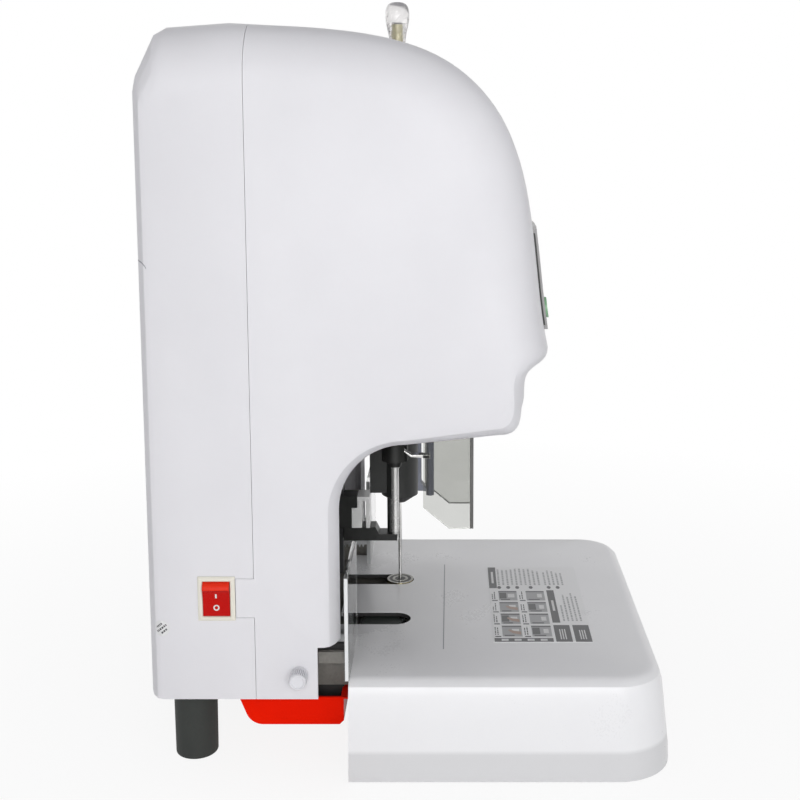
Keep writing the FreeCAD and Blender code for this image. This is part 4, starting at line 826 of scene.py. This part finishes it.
def fence_ends():
    low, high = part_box("fence_plates")
    proud = 0.05 * MM
    rim = 0.35 * MM
    inner_end = 76.0 * MM
    outer = [side_quad(x, low.y + rim, high.y - rim, low.z, high.z - rim)
             for x in (low.x - proud, high.x + proud)]
    inner = [side_quad(x, low.y, high.y, low.z, high.z) for x in (-inner_end + proud, inner_end - proud)]
    # The inner ends take the darker frosted copy: painted shade.
    for name, runs, finish_name in (("outer", outer, "frost_edge"), ("inner", inner, "frost_painted_shade")):
        points, faces = joined(runs)
        build("fence_%s_ends" % name, points, faces, materials[finish_name], "fence")


fence_ends()


# Rings on the die and the pad

def ring_solid(name, centre, z0, z1, outer, inner, material, body):
    profile = [(inner, z0), (outer, z0), (outer, z1), (inner, z1)]
    points, faces = lathe(profile, (centre.x, centre.y, 0), 2, closed=True)
    soften(build(name, points, faces, materials[material], body), 0.08 * MM, 2)


def station_rings():
    low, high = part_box("rivet_die")
    middle = middle_of("rivet_die")
    radius = (high.x - low.x) / 2
    sunk = 0.1 * MM
    for name, rise, outer, inner, material in (
            ("die_rim", 0.2 * MM, 1.0, 0.84, "die_steel"),
            ("die_black_ring", 0.1 * MM, 0.84, 0.60, "black_metal"),
            ("die_steel_ring", 0.25 * MM, 0.60, 0.40, "die_steel"),
            ("die_collar", 0.4 * MM, 0.40, 0.13, "black_metal")):
        ring_solid(name, middle, high.z - sunk, high.z + rise, radius * outer, radius * inner, material,
                   "root")
    low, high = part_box("drill_pad")
    middle = middle_of("drill_pad")
    radius = (high.x - low.x) / 2
    rise = 0.06 * MM
    for share in (0.92, 0.56):
        ring_solid("pad_ring_%02d" % round(100 * share), middle, high.z - sunk, high.z + rise,
                   radius * share, radius * (share - 0.05), "black_plastic", "pad")


station_rings()


# Fine grey line on the table, in front of the stations: a painted reflection

def table_painted_reflection():
    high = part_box("table_cover")[1]
    y = -23.0 * MM
    x0, x1 = -98.0 * MM, 76.0 * MM
    half = 0.35 * MM
    z = high.z + 0.03 * MM
    points, faces = strip([(x0, y - half, z), (x1, y - half, z)], [(x0, y + half, z), (x1, y + half, z)])
    build("table_painted_reflection", points, faces, materials["groove"], "root")


table_painted_reflection()


# Thumb knob: knurled sleeve with a dished face

def thumb_knob():
    low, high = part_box("margin_knob")
    middle = middle_of("margin_knob")
    radius = (high.y - low.y) / 2
    teeth = 26
    steps_per_tooth = 4
    groove_share = 0.10
    face_x, root_x, back_x = low.x, high.x - 4.6 * MM, high.x
    sleeve = [(face_x + 0.9 * MM, 0.52, 0), (face_x + 0.9 * MM, 0.64, 0), (face_x, 0.74, 0),
              (face_x, 0.82, 0), (face_x + 0.7 * MM, 0.92, 0), (face_x + 1.4 * MM, 0.94, 0.3),
              (face_x + 2.2 * MM, 0.95, 1),
              (root_x, 0.95, 1), (root_x + 0.6 * MM, 0.90, 0.2), (root_x + 1.2 * MM, 0.86, 0),
              (back_x - 0.2 * MM, 0.86, 0), (back_x, 0.80, 0)]
    profile = [(radius * (share + groove_share / 2 * depth), x) for x, share, depth in sleeve]

    def groove(ring, i):
        return radius * groove_share * sleeve[ring][2] if i % steps_per_tooth in (0, 1) else 0

    count = steps_per_tooth * teeth
    points, faces = lathe(profile, (0, middle.y, middle.z), 0, count, groove)
    knob = build("knob_sleeve", points, faces, materials["knob"], "margin")
    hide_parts("margin_knob")
    # Groove faces of the ridged rings take a grey: painted shade in the knurl.
    knob.data.materials.append(materials["groove"])
    ridged_rings = range(5, 8)
    for ring in ridged_rings:
        for i in range(0, count, steps_per_tooth):
            knob.data.polygons[ring * count + i].material_index = 1


thumb_knob()


# Hollow drill: ground tube with a shoulder and a sharpened mouth

def drill_tube():
    low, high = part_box("hollow_drill")
    middle = middle_of("hollow_drill")
    half = 2.9 * MM
    bore = 2.1 * MM
    bore_depth = 14 * MM
    collar = half + 0.5 * MM
    length = high.z - low.z
    profile = [(bore, bore_depth), (bore, 0.4 * MM), (bore + 0.15 * MM, 0), (half - 0.25 * MM, 1.2 * MM),
               (half, 2.4 * MM), (half, 0.66 * length), (collar, 0.67 * length), (collar, length)]
    points, faces = lathe(profile, (middle.x, middle.y, low.z), 2)
    tube = build("drill_tube", points, faces, materials["tube"], "spindle")
    soften(tube, 0.1 * MM, 2)
    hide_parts("hollow_drill")


drill_tube()


# Arm block: bright slotted clamp in front of a black slider

def clamp_block():
    low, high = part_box("arm_block")
    rail_low, rail_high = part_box("arm_rail")
    joint_y = low.y + 15.0 * MM
    slot_y0, slot_y1 = low.y + 3.2 * MM, low.y + 6.6 * MM
    slot_z = high.z - 4.0 * MM
    step_y, step_z = joint_y - 4.6 * MM, low.z + 17.0 * MM
    outline = [
        (low.y, low.z), (slot_y0, low.z), (slot_y0, slot_z), (slot_y1, slot_z), (slot_y1, low.z),
        (joint_y, low.z), (joint_y, step_z), (step_y, step_z), (step_y, high.z), (low.y, high.z),
    ]
    clamp = extruded("clamp_front", outline, 0, low.x, high.x, "bright_block", "arm",
                     0.4 * MM)
    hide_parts("arm_block")
    gap = 0.1 * MM
    rear = [(joint_y + gap, low.z), (high.y, low.z), (high.y, high.z), (step_y + gap, high.z),
            (step_y + gap, step_z + gap), (joint_y + gap, step_z + gap)]
    side = 0.3 * MM
    left_x, right_x = rail_low.x - side, rail_high.x + side
    front = [(min(y, rail_low.y - side), z) for y, z in rear]
    for name, shape, x0, x1 in (("left", rear, low.x, left_x), ("right", rear, right_x, high.x),
                                ("middle", front, left_x, right_x)):
        extruded("slider_" + name, shape, 0, x0, x1, "black_metal", "arm", 0.3 * MM)


clamp_block()


# Guard mount: a bright spring clip and a tinted carrier bar under the head

def guard_mount():
    low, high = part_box("drill_guard")
    lamp_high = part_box("locating_lamp")[1]
    lamp_x = middle_of("locating_lamp").x
    half = 5.0 * MM
    bar_y0, bar_y1, foot_y = lamp_high.y + 2.0 * MM, lamp_high.y + 4.7 * MM, lamp_high.y - 2.0 * MM
    foot_z = high.z - 66 * MM
    bar = [(bar_y0, high.z), (bar_y1, high.z), (bar_y1, foot_z), (foot_y, foot_z),
           (foot_y, foot_z + 2 * MM), (bar_y0, foot_z + 6 * MM)]
    extruded("guard_bar", bar, 0, lamp_x - half, lamp_x + half, "steel_blue", "root",
             0.4 * MM)
    root_y, bend_y, tip_y = high.y - 5 * MM, high.y + 9 * MM, high.y + 14 * MM
    clip_z = high.z - 34 * MM
    clip = [(root_y, clip_z), (bend_y, clip_z + 1 * MM), (tip_y, clip_z + 5 * MM), (tip_y, clip_z + 6 * MM),
            (bend_y - 0.4 * MM, clip_z + 2.6 * MM), (root_y, clip_z + 3 * MM)]
    panel = 2.5 * MM
    clip_width = 7 * MM
    extruded("guard_clip", clip, 0, low.x + panel, low.x + panel + clip_width, "steel", "root",
             0.3 * MM)


guard_mount()


# Raised edge of the casting in the notch between body and table, with a black strip behind it as painted
# shade that hides the lit casting top

def casting_edges():
    low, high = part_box("base_casting")
    fence_rear_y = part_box("fence_plates")[1].y
    inset = 0.6 * MM
    front_y, rear_y = fence_rear_y + 0.8 * MM, fence_rear_y + 19.5 * MM
    for name, shift, width, rise, material in (("rim", 0.0, 4.4 * MM, 8.6 * MM, "casting"),
                                               ("painted_shade", 6.5 * MM, 5.0 * MM, 11.5 * MM, "belt")):
        for side, edge_x, inward in (("left", low.x + inset, 1), ("right", high.x - inset, -1)):
            x0, x1 = sorted((edge_x + inward * shift, edge_x + inward * (shift + width)))
            outline = [(x0, high.z), (x1, high.z), (x1, high.z + rise), (x0, high.z + rise)]
            extruded("casting_%s_%s" % (name, side), outline, 1, front_y, rear_y, material, "root",
                     0.6 * MM)


casting_edges()


# Black sheet hung under the casting: painted shade over the view into the tray

def tray_painted_shade_sheet():
    low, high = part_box("chip_tray")
    rail_low, rail_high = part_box("tray_rails")
    y0, y1 = low.y + 4.0 * MM, high.y - 8.0 * MM
    x0, x1 = rail_low.x - 2.0 * MM, rail_low.x - 0.5 * MM
    z0, z1 = low.z + 11.0 * MM, rail_high.z
    outline = [(x0, z1), (x0, z0 + 1.0 * MM), (x0 + 0.4 * MM, z0), (x1, z0), (x1, z1)]
    extruded("tray_painted_shade_sheet", outline, 1, y0, y1, "belt", "root", 0.2 * MM)


tray_painted_shade_sheet()


# Black sheet on the walls of the two table slots: painted shade in the slots

def slot_painted_shade():
    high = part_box("table_cover")[1]
    drill, die = middle_of("hollow_drill"), middle_of("rivet_die")
    half = 11.5 * MM - 0.12 * MM
    skin = 3.0 * MM
    top_z, rear_y = high.z - 0.2 * MM, high.y - 1 * MM
    rows = []
    for x in (drill.x, die.x):
        path = [(x - half, rear_y)] + arc_points((x, drill.y), half, 180, 360, 24) + [(x + half, rear_y)]
        rows.append(strip([(a, b, top_z) for a, b in path], [(a, b, high.z - skin) for a, b in path]))
    points, faces = joined(rows)
    build("slot_painted_shade", points, faces, materials["belt"], "root")


slot_painted_shade()


# Floor, backdrop and light

def seen_directly(net):
    """1 for camera, glossy and transmission rays."""
    path = add(net, "ShaderNodeLightPath")
    seen = path.outputs["Is Camera Ray"]
    for ray in ("Is Glossy Ray", "Is Transmission Ray"):
        either = add(net, "ShaderNodeMath", operation="MAXIMUM")
        net.links.new(seen, either.inputs[0])
        net.links.new(path.outputs[ray], either.inputs[1])
        seen = either.outputs[0]
    return seen


def make_floor():
    half = 12.0
    shadow_radius, far_radius = 0.15, 0.80
    near_glow, far_glow = 0.88, 1.0
    mesh = bpy.data.meshes.new("floor")
    corners = [(-half, -half, 0), (half, -half, 0), (half, half, 0), (-half, half, 0)]
    mesh.from_pydata(corners, [], [(0, 1, 2, 3)])
    floor = bpy.data.objects.new("floor", mesh)
    bpy.context.scene.collection.objects.link(floor)
    material, net, principled = tree("floor")
    principled.inputs["Base Color"].default_value = (0.93, 0.93, 0.93, 1)
    principled.inputs["Roughness"].default_value = 0.9
    principled.inputs["Specular IOR Level"].default_value = 0.1
    glow = add(net, "ShaderNodeEmission")
    glow.inputs["Color"].default_value = (1, 1, 1, 1)
    length = add(net, "ShaderNodeVectorMath", operation="LENGTH")
    net.links.new(place(net), length.inputs[0])
    far = spread(net, length.outputs["Value"], near_glow, far_glow, shadow_radius, far_radius)
    both = add(net, "ShaderNodeMath", operation="MULTIPLY")
    net.links.new(far, both.inputs[0])
    net.links.new(seen_directly(net), both.inputs[1])
    mix = add(net, "ShaderNodeMixShader")
    net.links.new(both.outputs[0], mix.inputs[0])
    net.links.new(principled.outputs[0], mix.inputs[1])
    net.links.new(glow.outputs[0], mix.inputs[2])
    net.links.new(mix.outputs[0], net.nodes["Material Output"].inputs["Surface"])
    mesh.materials.append(material)


def make_world():
    """White to the camera, soft grey light, and a sky that darkens upwards in mirrored rays."""
    white, overhead, ambient = (1.0, 1.0, 1.0), (0.22, 0.22, 0.22), (0.39, 0.39, 0.402)
    world = bpy.data.worlds.new("studio")
    bpy.context.scene.world = world
    world.use_nodes = True
    net = world.node_tree
    background = net.nodes["Background"]
    path = add(net, "ShaderNodeLightPath")
    parts = add(net, "ShaderNodeSeparateXYZ")
    net.links.new(place(net), parts.inputs[0])
    height = spread(net, parts.outputs["Z"], 0, 1, 0.35, 0.75)
    mirrored = blend_colors(net, height, white, overhead)
    shade = blend_colors(net, seen_directly(net), ambient, white)
    shade = blend_colors(net, path.outputs["Is Glossy Ray"], shade, mirrored)
    net.links.new(shade, background.inputs["Color"])
    background.inputs["Strength"].default_value = 1.0


def lamp(name, location, target, size, power):
    data = bpy.data.lights.new(name, "AREA")
    data.shape = "RECTANGLE"
    data.size, data.size_y = size
    data.energy = power
    light = bpy.data.objects.new(name, data)
    bpy.context.scene.collection.objects.link(light)
    light.location = location
    light.rotation_euler = (Vector(target) - Vector(location)).to_track_quat("-Z", "Y").to_euler()


def make_camera():
    """The photograph's camera: level with the head, to the operator's left."""
    picture_px = 800
    focal_px = 1235
    centre_px = 451
    level_px = 124
    drop_share = 0.13
    sensor = 36.0
    data = bpy.data.cameras.new("camera")
    camera = bpy.data.objects.new("camera", data)
    bpy.context.scene.collection.objects.link(camera)
    data.sensor_width = sensor
    data.lens = sensor * focal_px / picture_px
    data.shift_x = 0.5 - centre_px / picture_px
    data.shift_y = -drop_share
    axis_px = picture_px * (0.5 - drop_share)
    pitch = math.atan((axis_px - level_px) / focal_px)
    camera.location = (-0.9516, -0.0285, 0.449)
    camera.rotation_euler = (math.pi / 2 - pitch, 0, -math.pi / 2)
    data.clip_start = 0.05
    data.clip_end = 60
    bpy.context.scene.camera = camera


make_floor()
make_world()
make_camera()
lamp("key", location=(-1.7, -0.15, 0.58), target=(0, 0, 0.25), size=(0.9, 0.9), power=11.7)
lamp("fill", location=(-1.8, -1.6, 0.9), target=(0, 0, 0.15), size=(1.4, 1.4), power=6)
lamp("rim", location=(1.6, 1.2, 1.6), target=(0, 0, 0.25), size=(1.4, 1.4), power=2.5)
bpy.context.scene.view_settings.view_transform = "Standard"
